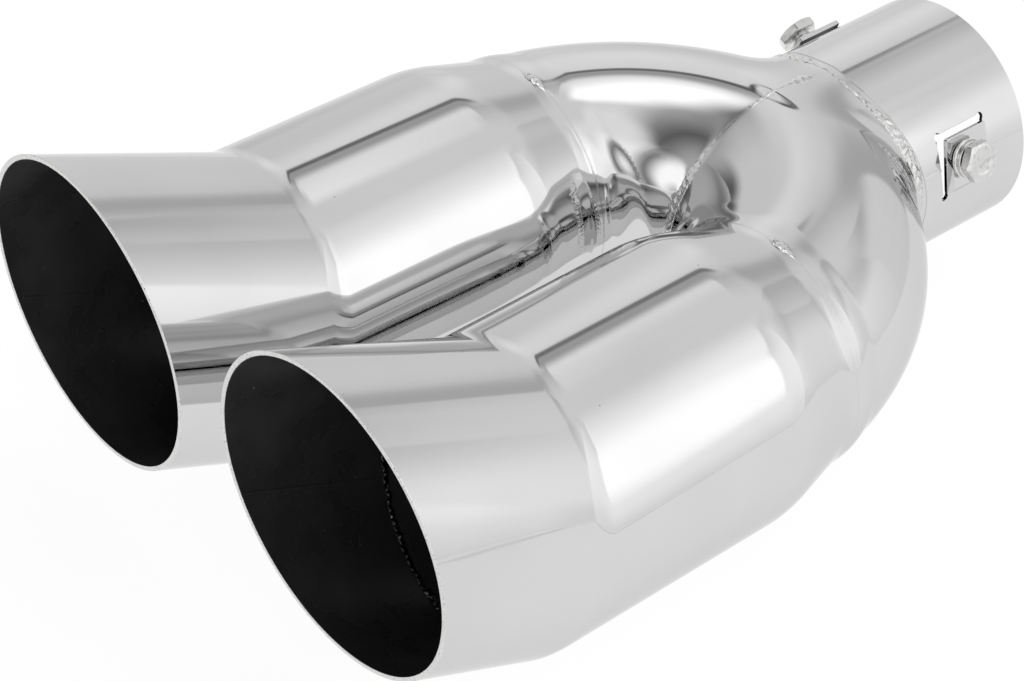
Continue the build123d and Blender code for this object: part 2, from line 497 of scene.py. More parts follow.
# Stainless of the screws and bosses: turned and tumbled, a little duller than the tube.
SCREW_STEEL = GrainedSteel(
    "screw_tumbled", grain=(600.0, 4.0), tint=(0.68, 0.676, 0.67), second_tint=(0.42, 0.415, 0.41),
    second_range=(0.55, 0.75), gloss=(0.35, 0.75, 0.07, 0.16), relief=(0.4, 0.000006),
    scuff_grain=(180.0, 3.0))


@dataclass
class Finishes:
    """Every finish of the tip, built once."""

    polished: Material = field(default_factory=PolishedSteel().material)
    # Near-black skin of the outlets' and barrels' inside: painted shade.
    dark: Material = field(default_factory=PaintedShadeSkin().material)
    # Inside of the inlet and elbows: satin, with near-black tints that paint the shade.
    mill_painted_shade: Material = field(default_factory=MILL_FINISH_IN_PAINTED_SHADE.material)
    edge: Material = field(default_factory=RAW_EDGE.material)
    weld: Material = field(default_factory=WELD_STEEL.material)
    root: Material = field(default_factory=WELD_ROOT.material)
    screw: Material = field(default_factory=SCREW_STEEL.material)


# Meshes


def show(name: str, data: bpy.types.ID) -> Object:
    """Adds an object to the scene."""
    obj = bpy.data.objects.new(name, data)
    bpy.context.scene.collection.objects.link(obj)
    return obj


@dataclass
class Skin:
    """Mesh data in mm, with a normal for each vertex."""

    points: Array
    normals: Array
    faces: list
    finish_of_face: Array

    def piece(self, name: str, materials: Sequence[Material], slot: Slot,
              nodes: Sequence[str] = ()) -> Object:
        """Makes the Blender object and fixes it to the frame.

        Args:
            name: the piece's name.
            materials: finishes, in the order that finish_of_face counts them.
            slot: not used.
            nodes: CAD nodes that the piece stands for.

        Returns:
            The new object.
        """
        mesh = bpy.data.meshes.new(name)
        mesh.from_pydata((self.points * MM).tolist(), [], [list(map(int, f)) for f in self.faces])
        for material in materials:
            mesh.materials.append(material)
        mesh.polygons.foreach_set("material_index", np.asarray(self.finish_of_face, np.int32))
        mesh.polygons.foreach_set("use_smooth", np.ones(len(mesh.polygons), bool))
        mesh.update()
        mesh.normals_split_custom_set_from_vertices(unit(self.normals).tolist())
        obj = show(name, mesh)
        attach(obj, BODY)
        if nodes:
            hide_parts(*nodes)
        log.info("%s: %d vertices, %d faces", name, len(self.points), len(self.faces))
        return obj


def weighted_slope(points: Array, axis: int, closed: bool) -> Array:
    """Tangents along one axis of a grid of points, right for uneven spacing.

    Args:
        points: grid of points, rows by columns by 3.
        axis: 0 along the rows or 1 along the columns.
        closed: whether that axis runs round to its start.

    Returns:
        Unit tangents, one for each point.
    """
    ahead = np.roll(points, -1, axis) - points
    behind = points - np.roll(points, 1, axis)
    if not closed:
        first, last = [slice(None)] * 3, [slice(None)] * 3
        first[axis], last[axis] = 0, -1
        behind[tuple(first)] = ahead[tuple(first)]
        ahead[tuple(last)] = behind[tuple(last)]
    la, lb = (np.linalg.norm(step, axis=-1, keepdims=True) + 1e-9 for step in (ahead, behind))
    return unit(ahead / la * lb + behind / lb * la + 1e-15)


def ring_grid(points: Array, finish_of_row: Sequence[int] | int, closed_rows: bool = True) -> Skin:
    """Skin over a grid whose columns run round and whose rows may close on themselves.

    Args:
        points: rows by columns by 3, in mm. Columns run round a tube's axis.
        finish_of_row: finish of the faces between each row and the next, or one for all.
        closed_rows: whether the last row joins the first.

    Returns:
        The skin, facing the way that its normals do.
    """
    rows, columns = points.shape[:2]
    normals = np.cross(weighted_slope(points, 1, True), weighted_slope(points, 0, closed_rows))
    index = np.arange(rows * columns).reshape(rows, columns)
    steps = rows if closed_rows else rows - 1
    below, above = index[:steps], np.roll(index, -1, 0)[:steps]
    quads = np.stack([below, np.roll(below, -1, 1), np.roll(above, -1, 1), above], -1).reshape(-1, 4)
    finishes = np.repeat(np.broadcast_to(finish_of_row, rows)[:steps], columns)
    return Skin(points.reshape(-1, 3), normals.reshape(-1, 3), quads.tolist(), finishes)


def outward_grid(points: Array, closed_rows: bool, tested: Array, outward: Array) -> Skin:
    """Skin of one finish over a grid, turned round if it faces inwards.

    Args:
        points: rows by columns by 3, in mm.
        closed_rows: whether the last row joins the first.
        tested: numbers of the vertices to test.
        outward: directions out of the piece at those vertices.

    Returns:
        The skin, facing outwards.
    """
    skin = ring_grid(points, 0, closed_rows)
    if (skin.normals[tested] * outward).sum(-1).mean() < 0:
        skin = ring_grid(points[:, ::-1], 0, closed_rows)
    return skin


def surface_net(distance: Field, low: Array, high: Array, step: float) -> tuple[Array, Array]:
    """Even quad mesh over the zero level of a distance field.

    Args:
        distance: field in mm, negative inside.
        low: lowest corner of the space searched.
        high: highest corner.
        step: size of a cell.

    Returns:
        Points, and quads that face outwards.
    """
    counts = np.round((high - low) / step).astype(int)
    axes = [low[a] + step * np.arange(counts[a] + 1) for a in range(3)]
    grid = np.stack(np.meshgrid(*axes, indexing="ij"), -1)
    value = distance(grid.reshape(-1, 3)).reshape(grid.shape[:3])
    cells = tuple(counts)
    total, crossings = np.zeros(cells + (3,)), np.zeros(cells)

    def corner(array: Array, i: int, j: int, k: int) -> Array:
        """The array's values at one corner of every cell."""
        return array[i:i + cells[0], j:j + cells[1], k:k + cells[2]]

    for axis, across in product(range(3), product((0, 1), repeat=2)):
        start, end = (list(across[:axis]) + [side] + list(across[axis:]) for side in (0, 1))
        a, b = corner(value, *start), corner(value, *end)
        cross = (a < 0) != (b < 0)
        share = np.where(cross, a / np.where(cross, a - b, 1.0), 0.0)
        point = corner(grid, *start).copy()
        point[..., axis] += share * step
        total += point * cross[..., None]
        crossings += cross
    active = crossings > 0
    index = np.full(cells, -1)
    index[active] = np.arange(active.sum())
    points = total[active] / crossings[active][:, None]
    quads = []
    for axis in range(3):
        near, far = [slice(1, -1)] * 3, [slice(1, -1)] * 3
        near[axis], far[axis] = slice(None, -1), slice(1, None)
        leaving, entering = value[tuple(near)] < 0, value[tuple(far)] < 0
        others = [x for x in range(3) if x != axis]
        ring = []
        for shift in ((0, 0), (1, 0), (1, 1), (0, 1)):
            at = np.argwhere(leaving != entering)
            at[:, others] += shift
            ring.append(index[tuple(at.T)])
        quad = np.stack(ring, -1)
        turned = leaving[leaving != entering] == (axis == 1)
        quad[turned] = quad[turned][:, ::-1]
        quads.append(quad)
    return points, np.concatenate(quads)


def slope_of(distance: Field, points: Array, reach: float = 0.02) -> Array:
    """Gradient of a distance field by central differences."""
    out = np.empty_like(points)
    for axis, shift in enumerate(reach * np.eye(3)):
        out[:, axis] = (distance(points + shift) - distance(points - shift)) / (2 * reach)
    return out


def onto_surface(distance: Field, points: Array, rounds: int = 3) -> Array:
    """Points moved along the field's slope onto its zero level."""
    for _ in range(rounds):
        slope = slope_of(distance, points)
        points = points - slope * (distance(points) / (slope**2).sum(-1))[:, None]
    return points


def relax(distance: Field, points: Array, quads: Array, rounds: int = 6) -> Array:
    """Evens out a mesh along the surface that it lies on.

    Args:
        distance: field whose zero level is the surface.
        points: the mesh's points.
        quads: its faces.
        rounds: how many times each point moves halfway to the middle of its neighbours.

    Returns:
        The moved points.
    """
    ends = np.concatenate([quads[:, [k, (k + 1) % 4]] for k in range(4)])
    degree = np.bincount(ends.ravel(), minlength=len(points))
    for _ in range(rounds):
        total = np.zeros_like(points)
        for (a, b), axis in product(((0, 1), (1, 0)), range(3)):
            total[:, axis] += np.bincount(ends[:, a], points[ends[:, b], axis], len(points))
        points = points + 0.5 * (total / np.maximum(degree, 1)[:, None] - points)
        points = onto_surface(distance, points, 2)
    return points


def cut_away(points: Array, faces: Sequence, planes: Sequence[tuple[Array, Array]]) -> tuple[Array, list]:
    """Trims a mesh by planes.

    Args:
        points: the mesh's points.
        faces: its faces.
        planes: point and normal of each plane. What lies on the normal's side goes.

    Returns:
        The points and faces that are left.
    """
    bm = bmesh.new()
    verts = [bm.verts.new(p) for p in points.tolist()]
    for face in faces:
        bm.faces.new([verts[i] for i in face])
    for origin, normal in planes:
        bmesh.ops.bisect_plane(bm, geom=bm.verts[:] + bm.edges[:] + bm.faces[:], dist=1e-5, clear_outer=True,
                               plane_co=origin.tolist(), plane_no=normal.tolist())
    bmesh.ops.delete(bm, geom=[v for v in bm.verts if not v.link_faces], context="VERTS")
    bm.verts.index_update()
    out = np.array([v.co[:] for v in bm.verts])
    left = [[v.index for v in f.verts] for f in bm.faces]
    bm.free()
    return out, left


def keep_faces(points: Array, faces: Sequence, keep: Array) -> tuple[Array, list]:
    """The faces that are kept, and only the points that they use."""
    chosen = [f for f, k in zip(faces, keep) if k]
    used = sorted({i for f in chosen for i in f})
    new = {old: i for i, old in enumerate(used)}
    return points[used], [[new[i] for i in f] for f in chosen]


@dataclass(frozen=True)
class Sheet:
    """Flat pattern of sheet metal that is bent into its place, with rounded cut edges."""

    outline: Array
    holes: tuple[Array, ...]
    place: Callable[[Array, Array], Array]
    wall: float
    edge_round: float = 0.15
    edge_steps: int = 4
    spacing: float = 1.0
    probe: float = 0.01
    batch: int = 2000

    def skin(self) -> Skin:
        """Builds both faces and the rims, with finish 0 outside and on the rims and finish 1 inside."""
        loops = [self._inset(loop) for loop in (self.outline, *self.holes)]
        flat, triangles = self._triangles([loop for loop, _ in loops])
        count, facing = len(flat), self._facing(flat)
        level = np.zeros(count)
        points = [self.place(flat, level), self.place(flat, level + self.wall)]
        normals = [facing, -facing]
        faces = triangles.tolist() + (triangles[:, ::-1] + count).tolist()
        finishes = [0] * len(triangles) + [1] * len(triangles)
        total, first = 2 * count, 0
        for loop, outward in loops:
            around = np.arange(len(loop))
            rows = [first + around]
            for at, normal in self._rim(loop, outward):
                points.append(at)
                normals.append(normal)
                rows.append(total + around)
                total += len(loop)
            rows.append(rows[0] + count)
            for upper, lower in zip(rows, rows[1:]):
                faces += np.stack([upper, np.roll(upper, -1), np.roll(lower, -1), lower], -1).tolist()
                finishes += [0] * len(loop)
            first += len(loop)
        return Skin(np.concatenate(points), np.concatenate(normals), faces, np.array(finishes))

    def _inset(self, loop: Array) -> tuple[Array, Array]:
        """Loop moved into the metal by the edge's rounding, and its outward directions."""
        ahead = unit(np.roll(loop, -1, 0) - loop)
        behind = unit(loop - np.roll(loop, 1, 0))
        outward = unit(np.stack([(ahead + behind)[:, 1], -(ahead + behind)[:, 0]], -1))
        return loop - outward * self.edge_round, outward

    def _triangles(self, loops: Sequence[Array]) -> tuple[Array, Array]:
        """Fills the metal with evenly spaced points and triangles.

        Args:
            loops: the metal's outline and holes.

        Returns:
            Flat points, the loops' first, and triangles.
        """
        low, high = self.outline.min(0), self.outline.max(0)
        fill = np.stack(np.meshgrid(*[np.arange(low[a] + 0.5 * self.spacing, high[a], self.spacing)
                                      for a in (0, 1)], indexing="ij"), -1).reshape(-1, 2)
        middles = [(loop + np.roll(loop, -1, 0)) / 2 for loop in loops]
        borders = np.concatenate([part for pair in zip(loops, middles) for part in pair])
        keep = self._inside(fill, loops)
        for start in range(0, len(fill), self.batch):
            block = fill[start:start + self.batch]
            near = np.sqrt(((block[:, None] - borders[None]) ** 2).sum(-1)).min(1)
            keep[start:start + self.batch] &= near > 0.45 * self.spacing
        edges, start = [], 0
        for loop in loops:
            edges += [(start + i, start + (i + 1) % len(loop)) for i in range(len(loop))]
            start += len(loop)
        flat = [Vector(p) for p in (*np.concatenate(loops), *fill[keep])]
        result = delaunay_2d_cdt(flat, edges, [], 0, 1e-7)
        flat = np.array([p[:] for p in result[0]])
        triangles = np.array([f for f in result[2] if len(f) == 3])
        triangles = triangles[self._inside(flat[triangles].mean(1), loops)]
        a, b, c = (flat[triangles[:, i]] for i in range(3))
        turn = (b - a)[:, 0] * (c - a)[:, 1] - (b - a)[:, 1] * (c - a)[:, 0]
        triangles[turn > 0] = triangles[turn > 0][:, ::-1]
        return flat, triangles

    def _rim(self, loop: Array, outward: Array) -> Iterator[tuple[Array, Array]]:
        """Rows of points and normals over one rounded cut edge, from the outer face to the inner one."""
        level, facing = np.zeros(len(loop)), self._facing(loop)
        sideways = unit(self.place(loop + outward * self.probe, level) - self.place(loop, level))
        quarter = np.linspace(0, np.pi / 2, self.edge_steps)
        for sign, angles in ((1, quarter[1:]), (-1, quarter[:0:-1])):
            for angle in angles:
                depth = self.edge_round * (1 - np.cos(angle))
                depth = depth if sign > 0 else self.wall - depth
                at = loop + outward * self.edge_round * np.sin(angle)
                yield (self.place(at, np.full(len(loop), depth)),
                       np.cos(angle) * sign * facing + np.sin(angle) * sideways)

    def _facing(self, flat: Array) -> Array:
        """Outward normal of the bent sheet at flat points."""
        level = np.zeros(len(flat))
        along, across = (self.place(flat + shift, level) - self.place(flat - shift, level)
                         for shift in self.probe * np.eye(2))
        return unit(np.cross(across, along))

    @staticmethod
    def _inside(points: Array, loops: Sequence[Array]) -> Array:
        """Whether flat points lie in the metal: inside an odd number of loops."""
        odd = np.zeros(len(points), bool)
        for loop in loops:
            for (x0, y0), (x1, y1) in zip(loop, np.roll(loop, -1, 0)):
                spans = (y0 > points[:, 1]) != (y1 > points[:, 1])
                if spans.any():
                    odd ^= spans & (points[:, 0] < x0 + (points[:, 1] - y0) * (x1 - x0) / (y1 - y0))
        return odd


# Sub-assemblies


@dataclass
class TwinPipe:
    """One barrel and its outlet, which are welded at a crease and polished over."""

    sizes: TipSizes
    finishes: Finishes
    side: Side
    columns: int = 288
    crease_blend: float = 3.0
    crease_rows: int = 25
    inner_blend: float = 1.2
    inner_rows: int = 9
    beside_edge: float = 0.02
    lip: float = 0.28
    lip_rows: int = 6
    land: float = 1.0
    first_bend: float = 38.0
    bend_rows: int = 14
    neck_lip: float = 0.2
    lead_in: tuple[float, ...] = (24.0, 12.0, 4.0, 1.0)
    front_shares: tuple[float, ...] = (0.0, 0.0005, 0.2, 0.4, 0.6, 0.8)
    back_shares: tuple[float, ...] = (0.66, 0.33, 0.0005, 0.0)

    def __post_init__(self) -> None:
        """Works out the directions, and a spoke for each column round the tube."""
        self.origin = self.sizes.crease_centre(self.side)
        self.along = self.sizes.barrel_axis(self.side)
        self.out = self.sizes.outlet_axis()
        self.inner_radius = self.sizes.barrel_radius - self.sizes.wall
        self.hand = self.side.name.lower()
        turn = 2 * np.pi * np.arange(self.columns) / self.columns
        self.ring = np.cos(turn)[:, None] * np.cross(self.along, Z_AXIS) + np.sin(turn)[:, None] * Z_AXIS

    def crease(self, radius: float) -> Array:
        """Distance along the barrel's axis of the crease, round a tube of that radius."""
        normal = self.out - self.along
        return -radius * (self.ring @ normal) / (self.along @ normal)

    def crease_line(self, radius: float) -> Array:
        """Points of the crease, round a tube of that radius."""
        return self.origin + radius * self.ring + self.crease(radius)[:, None] * self.along

    def line(self, radius: float, u: Array, blend: float) -> Array:
        """Points at a signed distance from the crease, past it towards the mouth where positive.

        Args:
            radius: the tube's radius.
            u: distances, rows by columns.
            blend: half the width of the rounded crease.

        Returns:
            Points, rows by columns by 3.
        """
        def ramp(v: Array) -> Array:
            """Zero before the blend, v after it, and a parabola between."""
            return np.where(v <= -blend, 0.0, np.where(v >= blend, v, (v + blend) ** 2 / (4 * blend)))

        return self.crease_line(radius) + ramp(u)[..., None] * self.out + ramp(-u)[..., None] * self.along

    def straight(self, at: Array, radius: object) -> Array:
        """Points at distances along the barrel's axis, round tubes of those radii."""
        return self.origin + at[..., None] * self.along + np.asarray(radius)[..., None] * self.ring

    def mouth_distance(self, radius: float) -> Array:
        """Distance from the crease to the mouth's cut, round a tube of that radius."""
        point, normal = self.sizes.mouth(self.side)
        return ((point - self.crease_line(radius)) @ normal) / (self.out @ normal)

    def outlet(self) -> Object:
        """Builds the outlet, with the rounded crease and the raw lip of its mouth."""
        f, outer, inner = self.finishes, self.sizes.barrel_radius, self.inner_radius
        edge_out, edge_in = self.mouth_distance(outer), self.mouth_distance(inner)
        blend, inner_blend, lip = self.crease_blend, self.inner_blend, self.lip
        full = np.ones(self.columns)
        start = (-blend - self.land) * full

        def stretch(low: Array, high: Array, count: int) -> list:
            """Evenly spaced rows between two rows."""
            return [low + (high - low) * t for t in np.linspace(0, 1, count)]

        rows = [start, start + self.beside_edge, -blend * 1.15 * full]
        rows += stretch(-blend * full, blend * full, self.crease_rows)
        rows += stretch(blend * 1.08 * full, edge_out - 3 * lip, 8)
        rows += [edge_out - 1.6 * lip, edge_out - lip]
        outside = self.line(outer, np.stack(rows), blend)
        rows = [edge_in - lip, edge_in - 1.6 * lip]
        rows += stretch(edge_in - 3 * lip, inner_blend * 1.1 * full, 6)
        rows += stretch(inner_blend * full, -inner_blend * full, self.inner_rows)
        rows += [-inner_blend * 1.2 * full, start + self.beside_edge, start]
        inside = self.line(inner, np.stack(rows), inner_blend)
        corner_out = self.line(outer, edge_out[None], blend)[0]
        corner_in = self.line(inner, edge_in[None], inner_blend)[0]
        across = unit(corner_in - corner_out)
        shares = np.linspace(0, 1, self.lip_rows)
        lips = [parabola(outside[-1], corner_out, corner_out + across * lip, t) for t in shares[1:]]
        lips += [corner_out + across * 1.4 * lip, corner_in - across * 1.4 * lip]
        lips += [parabola(corner_in - across * lip, corner_in, inside[0], t) for t in shares[:-1]]
        finish = [0] * (len(outside) - 1) + [1] * (len(lips) + 1) + [2] * (len(inside) - 1) + [0]
        skin = ring_grid(np.concatenate([outside, np.stack(lips), inside]), finish)
        # The outlet's inside takes the near-black skin that paints its shade.
        return skin.piece(f"outlet_{self.hand}_skin", [f.polished, f.edge, f.dark], Slot.TUBE,
                          [f"outlet_{self.hand}"])

    def profile(self) -> tuple[Array, Array]:
        """Outer profile of the barrel past its variable part: distances along the axis, and radii."""
        s = self.sizes
        end, r0, r1 = s.barrel_length, s.barrel_radius, s.barrel_neck_od / 2
        wide, bend, lip = self.first_bend, s.swage_bend_radius, self.neck_lip
        slope = np.arctan2(r0 - r1, s.swage_length)
        first_start = s.swage_start - wide * np.tan(slope / 2)
        second_end = end - s.neck_length + bend * np.tan(slope / 2)
        turn = np.linspace(0, slope, self.bend_rows)
        first = np.stack([first_start + wide * np.sin(turn), r0 - wide * (1 - np.cos(turn))], -1)
        turn = turn[::-1]
        second = np.stack([second_end - bend * np.sin(turn), r1 + bend * (1 - np.cos(turn))], -1)
        cone = first[-1] + (second[0] - first[-1]) * np.linspace(0, 1, 8)[1:-1, None]
        lead = [(first_start - d, r0) for d in self.lead_in]
        around = np.radians([0, 30, 60, 90])
        edge = [(end - lip + lip * np.sin(a), r1 - lip * (1 - np.cos(a))) for a in around]
        line = np.concatenate([lead, first, cone, second[second[:, 0] < end - 0.3], edge])
        return line[:, 0], line[:, 1]

    def barrel(self) -> Object:
        """Builds the barrel with its swage."""
        s, f = self.sizes, self.finishes
        t, r = self.profile()
        outer = self.straight(t[:, None], r[:, None])
        smooth = len(t) - 3
        slope = np.gradient(np.stack([t[:smooth], r[:smooth]], -1), axis=0)
        normal = unit(np.stack([-slope[:, 1], slope[:, 0]], -1))
        ti, ri = t[:smooth] - s.wall * normal[:, 0], r[:smooth] - s.wall * normal[:, 1]
        ti[-1] = t[-1]
        inner = self.straight(ti[:, None], ri[:, None])[::-1]

        def lead(radius: float, end: float, shares: Sequence[float]) -> Array:
            """Rows between the crease's land, where the share is 0, and a plain section, where it is 1."""
            start = self.crease(radius) + self.crease_blend + self.land
            return np.stack([self.straight(start + (end - start) * k, radius) for k in shares])

        front = lead(s.barrel_radius, t[0], self.front_shares)
        back = lead(self.inner_radius, ti[0], self.back_shares)
        finish = [0] * (len(front) + len(outer)) + [1] * (len(inner) + len(back))
        skin = ring_grid(np.concatenate([front, outer, inner, back])[:, ::-1], finish)
        # The barrel's inside takes the near-black skin that paints its shade.
        return skin.piece(f"barrel_{self.hand}_skin", [f.polished, f.dark], Slot.TUBE,
                          [f"barrel_{self.hand}"])


@dataclass
class ElbowPair:
    """The two bent tubes, mitred on the centre plane and drawn out to a neck for the collar."""

    sizes: TipSizes
    finishes: Finishes
    neck_blend: float = 4.6
    bore_blend: float = 2.0
    mitre_blend: float = 0.8
    tuck: float = 0.3
    tuck_lead: float = 0.7
    tuck_run: float = 1.6
    step: float = 1.1
    bore_step: float = 1.8
    flare: float = 0.75
    flare_reach: float = 9.0
    half_height: float = 36.0
    margins: Triple = (6.0, 8.0, 4.0)
    y_limits: Pair = (-70.0, -20.0)

    def tubes(self, p: Array, radius: float) -> Array:
        """Distance to the pair of bent tubes, whose ends are sized to the barrels' round necks.

        Args:
            p: points in mm.
            radius: the tubes' radius.

        Returns:
            Distances in mm, negative inside.
        """
        s = self.sizes
        centre, seam, along = s.bend_centre(), s.seam_centre(Side.RIGHT), s.barrel_axis(Side.RIGHT)
        x = np.sqrt(p[:, 0] ** 2 + self.mitre_blend**2)
        from_centre = np.hypot(x - centre[0], p[:, 1] - centre[1])
        bent = np.hypot(from_centre - s.bend_radius, p[:, 2]) - radius
        past = (x - seam[0]) * along[0] + (p[:, 1] - seam[1]) * along[1]
        beside = (x - seam[0]) * along[1] - (p[:, 1] - seam[1]) * along[0]
        round_end = np.hypot(beside, p[:, 2]) - radius - self.flare
        return bent + (round_end - bent) * smoothstep(1.0 - past / self.flare_reach)

    def _united(self, p: Array, radius: float, neck: float, blend: float, tuck: float) -> Array:
        """Tubes and neck blended. Past the blend the neck's radius changes by the tuck, to pass the collar.

        Args:
            p: points in mm.
            radius: the tubes' radius.
            neck: the neck's radius.
            blend: size of the fillet between them.
            tuck: change of the neck's radius.

        Returns:
            Distances in mm, negative inside.
        """
        tubes = self.tubes(p, radius)
        radius_here = neck + tuck * smoothstep((tubes - blend + self.tuck_lead) / self.tuck_run)
        sideways = np.hypot(p[:, 0], p[:, 2]) - radius_here
        below = -self.sizes.arch_to_inlet - p[:, 1]
        beyond = np.hypot(np.maximum(sideways, 0), np.maximum(below, 0))
        return smooth_min(tubes, beyond + np.minimum(np.maximum(sideways, below), 0), blend)

    def outside(self, p: Array) -> Array:
        """Distance to the outer skin."""
        s = self.sizes
        return self._united(p, s.elbow_od / 2, s.collar_radius, self.neck_blend, -self.tuck)

    def bore(self, p: Array) -> Array:
        """Distance to the inner skin."""
        s = self.sizes
        return self._united(p, s.elbow_od / 2 - s.wall, s.inlet_bore / 2, self.bore_blend, self.tuck)

    def collar_edge(self, turn: Array) -> Array:
        """Y in mm of the line round the collar where the blend to the elbows ends, at angles in radians."""
        low, high = (np.full_like(turn, y) for y in self.y_limits)
        for _ in range(40):
            middle = (low + high) / 2
            at = self.sizes.collar_radius * spoke(turn) + middle[:, None] * Y_AXIS
            inside = self.tubes(at, self.sizes.elbow_od / 2) < self.neck_blend + 0.1
            low, high = np.where(inside, middle, low), np.where(inside, high, middle)
        return (low + high) / 2

    def _half_skins(self, distance: Field, radius: float, blend: float, step: float, facing: int) -> dict:
        """Meshes of one skin, by side.

        Args:
            distance: the skin's field.
            radius: radius of the bent tubes in that skin.
            blend: its blend to the neck.
            step: cell size.
            facing: 1 for the outer skin, -1 for the one that faces the bore.

        Returns:
            Side to points, normals and faces.
        """
        s = self.sizes
        seam = s.seam_centre(Side.RIGHT)
        beside, behind, before = self.margins
        wide = (np.ceil((seam[0] + s.elbow_od / 2 + beside) / step) + 0.5) * step
        low = np.array([-wide, seam[1] - behind, -self.half_height])
        high = np.array([wide, self.y_limits[1] - before, self.half_height])
        points, quads = surface_net(distance, low, high, step)
        points = relax(distance, points, quads)
        far = self.tubes(points, radius) > blend + before
        on_edge = (points[:, 1] < low[1] + step) | (points[:, 1] > high[1] - step)
        points, faces = keep_faces(points, quads.tolist(), ~(far | on_edge)[quads].any(1))
        planes = [(s.seam_centre(side), -s.barrel_axis(side)) for side in Side]
        points, faces = cut_away(points, faces, planes)
        normals = unit(slope_of(distance, points)) * facing
        centre_x = np.array([points[f, 0].mean() for f in faces])
        faces = [f[::facing] for f in faces]
        halves = {}
        for side in Side:
            kept, left = keep_faces(np.hstack([points, normals]), faces, centre_x * side > 0)
            halves[side] = (kept[:, :3], kept[:, 3:], left)
        return halves

    def build(self) -> None:
        """Builds both elbows."""
        s, f, radius = self.sizes, self.finishes, self.sizes.elbow_od / 2
        outer = self._half_skins(self.outside, radius, self.neck_blend, self.step, 1)
        inner = self._half_skins(self.bore, radius - s.wall, self.bore_blend, self.bore_step, -1)
        for side in Side:
            (po, no, fo), (pi, ni, fi) = outer[side], inner[side]
            faces = fo + [[i + len(po) for i in face] for face in fi]
            skin = Skin(np.concatenate([po, pi]), np.concatenate([no, ni]), faces,
                        np.array([0] * len(fo) + [1] * len(fi)))
            hand = side.name.lower()
            # The elbows' bore takes the near-black skin that paints the shade inside.
            skin.piece(f"elbow_{hand}_skin", [f.polished, f.mill_painted_shade], Slot.TUBE, [f"elbow_{hand}"])


@dataclass(frozen=True)
class Bead:
    """Weld bead along a line on a surface, with crescent ripples and a ragged edge.

    Each set of waves is how many there are and the shortest one's length in mm.
    """

    path: Array
    facing: Array
    half_width: Array
    height: Array
    seed: int
    closed: bool = False
    ripple: float = 1.2
    ripple_depth: float = 0.22
    ripple_bow: float = 0.7
    ragged: float = 0.18
    sink: float = 0.25
    edge_sink: float = 0.06
    crown_power: float = 0.7
    lumps: float = 0.08
    phase_drift: float = 0.15
    sway_waves: tuple[int, float] = (5, 1.7)
    swell_waves: tuple[int, float] = (6, 1.3)
    phase_waves: tuple[int, float] = (3, 6.0)
    lump_waves: tuple[int, float] = (4, 1.4)
    under: Triple = (0.8, 0.0, -0.8)
    onto: Optional[Field] = None
    across: int = 13

    def skin(self) -> Skin:
        """Builds the bead's closed skin."""
        rng = np.random.default_rng(SEED + self.seed)
        path, facing = self.path, unit(self.facing)
        side = unit(np.cross(weighted_slope(path[:, None], 0, self.closed)[:, 0], facing))
        s = run_of(path)
        sway = self.ragged * self.half_width * wavy(s, rng, *self.sway_waves)
        swell = [self.half_width * (1.0 + self.ragged * wavy(s, rng, *self.swell_waves)) for _ in (0, 1)]
        points = []
        for u in np.linspace(-1.0, 1.0, self.across):
            base = path + side * (u * swell[int(u > 0)] + sway)[:, None]
            if self.onto is not None:
                base = self.onto(base)
            drift = self.phase_drift * wavy(s, rng, *self.phase_waves)
            phase = s / self.ripple + self.ripple_bow * u * u + drift
            crown = (1.0 - u * u) ** self.crown_power * (1.0 + self.ripple_depth * np.sin(2 * np.pi * phase))
            crown = crown + self.lumps * wavy(s + 3.0 * u, rng, *self.lump_waves) * (1 - u * u)
            points.append(base + facing * (self.height * crown - self.edge_sink * abs(u) ** 6)[:, None])
        for u in self.under:
            points.append(path + side * (u * self.half_width + sway)[:, None] - facing * self.sink)
        grid = np.stack(points, 1)
        if not self.closed:
            for row in (0, -1):
                grid[row] = grid[row].mean(0) - facing[row] * self.sink * 0.5
        crest = self.across // 2 + grid.shape[1] * np.arange(len(grid))
        return outward_grid(grid, self.closed, crest, facing)


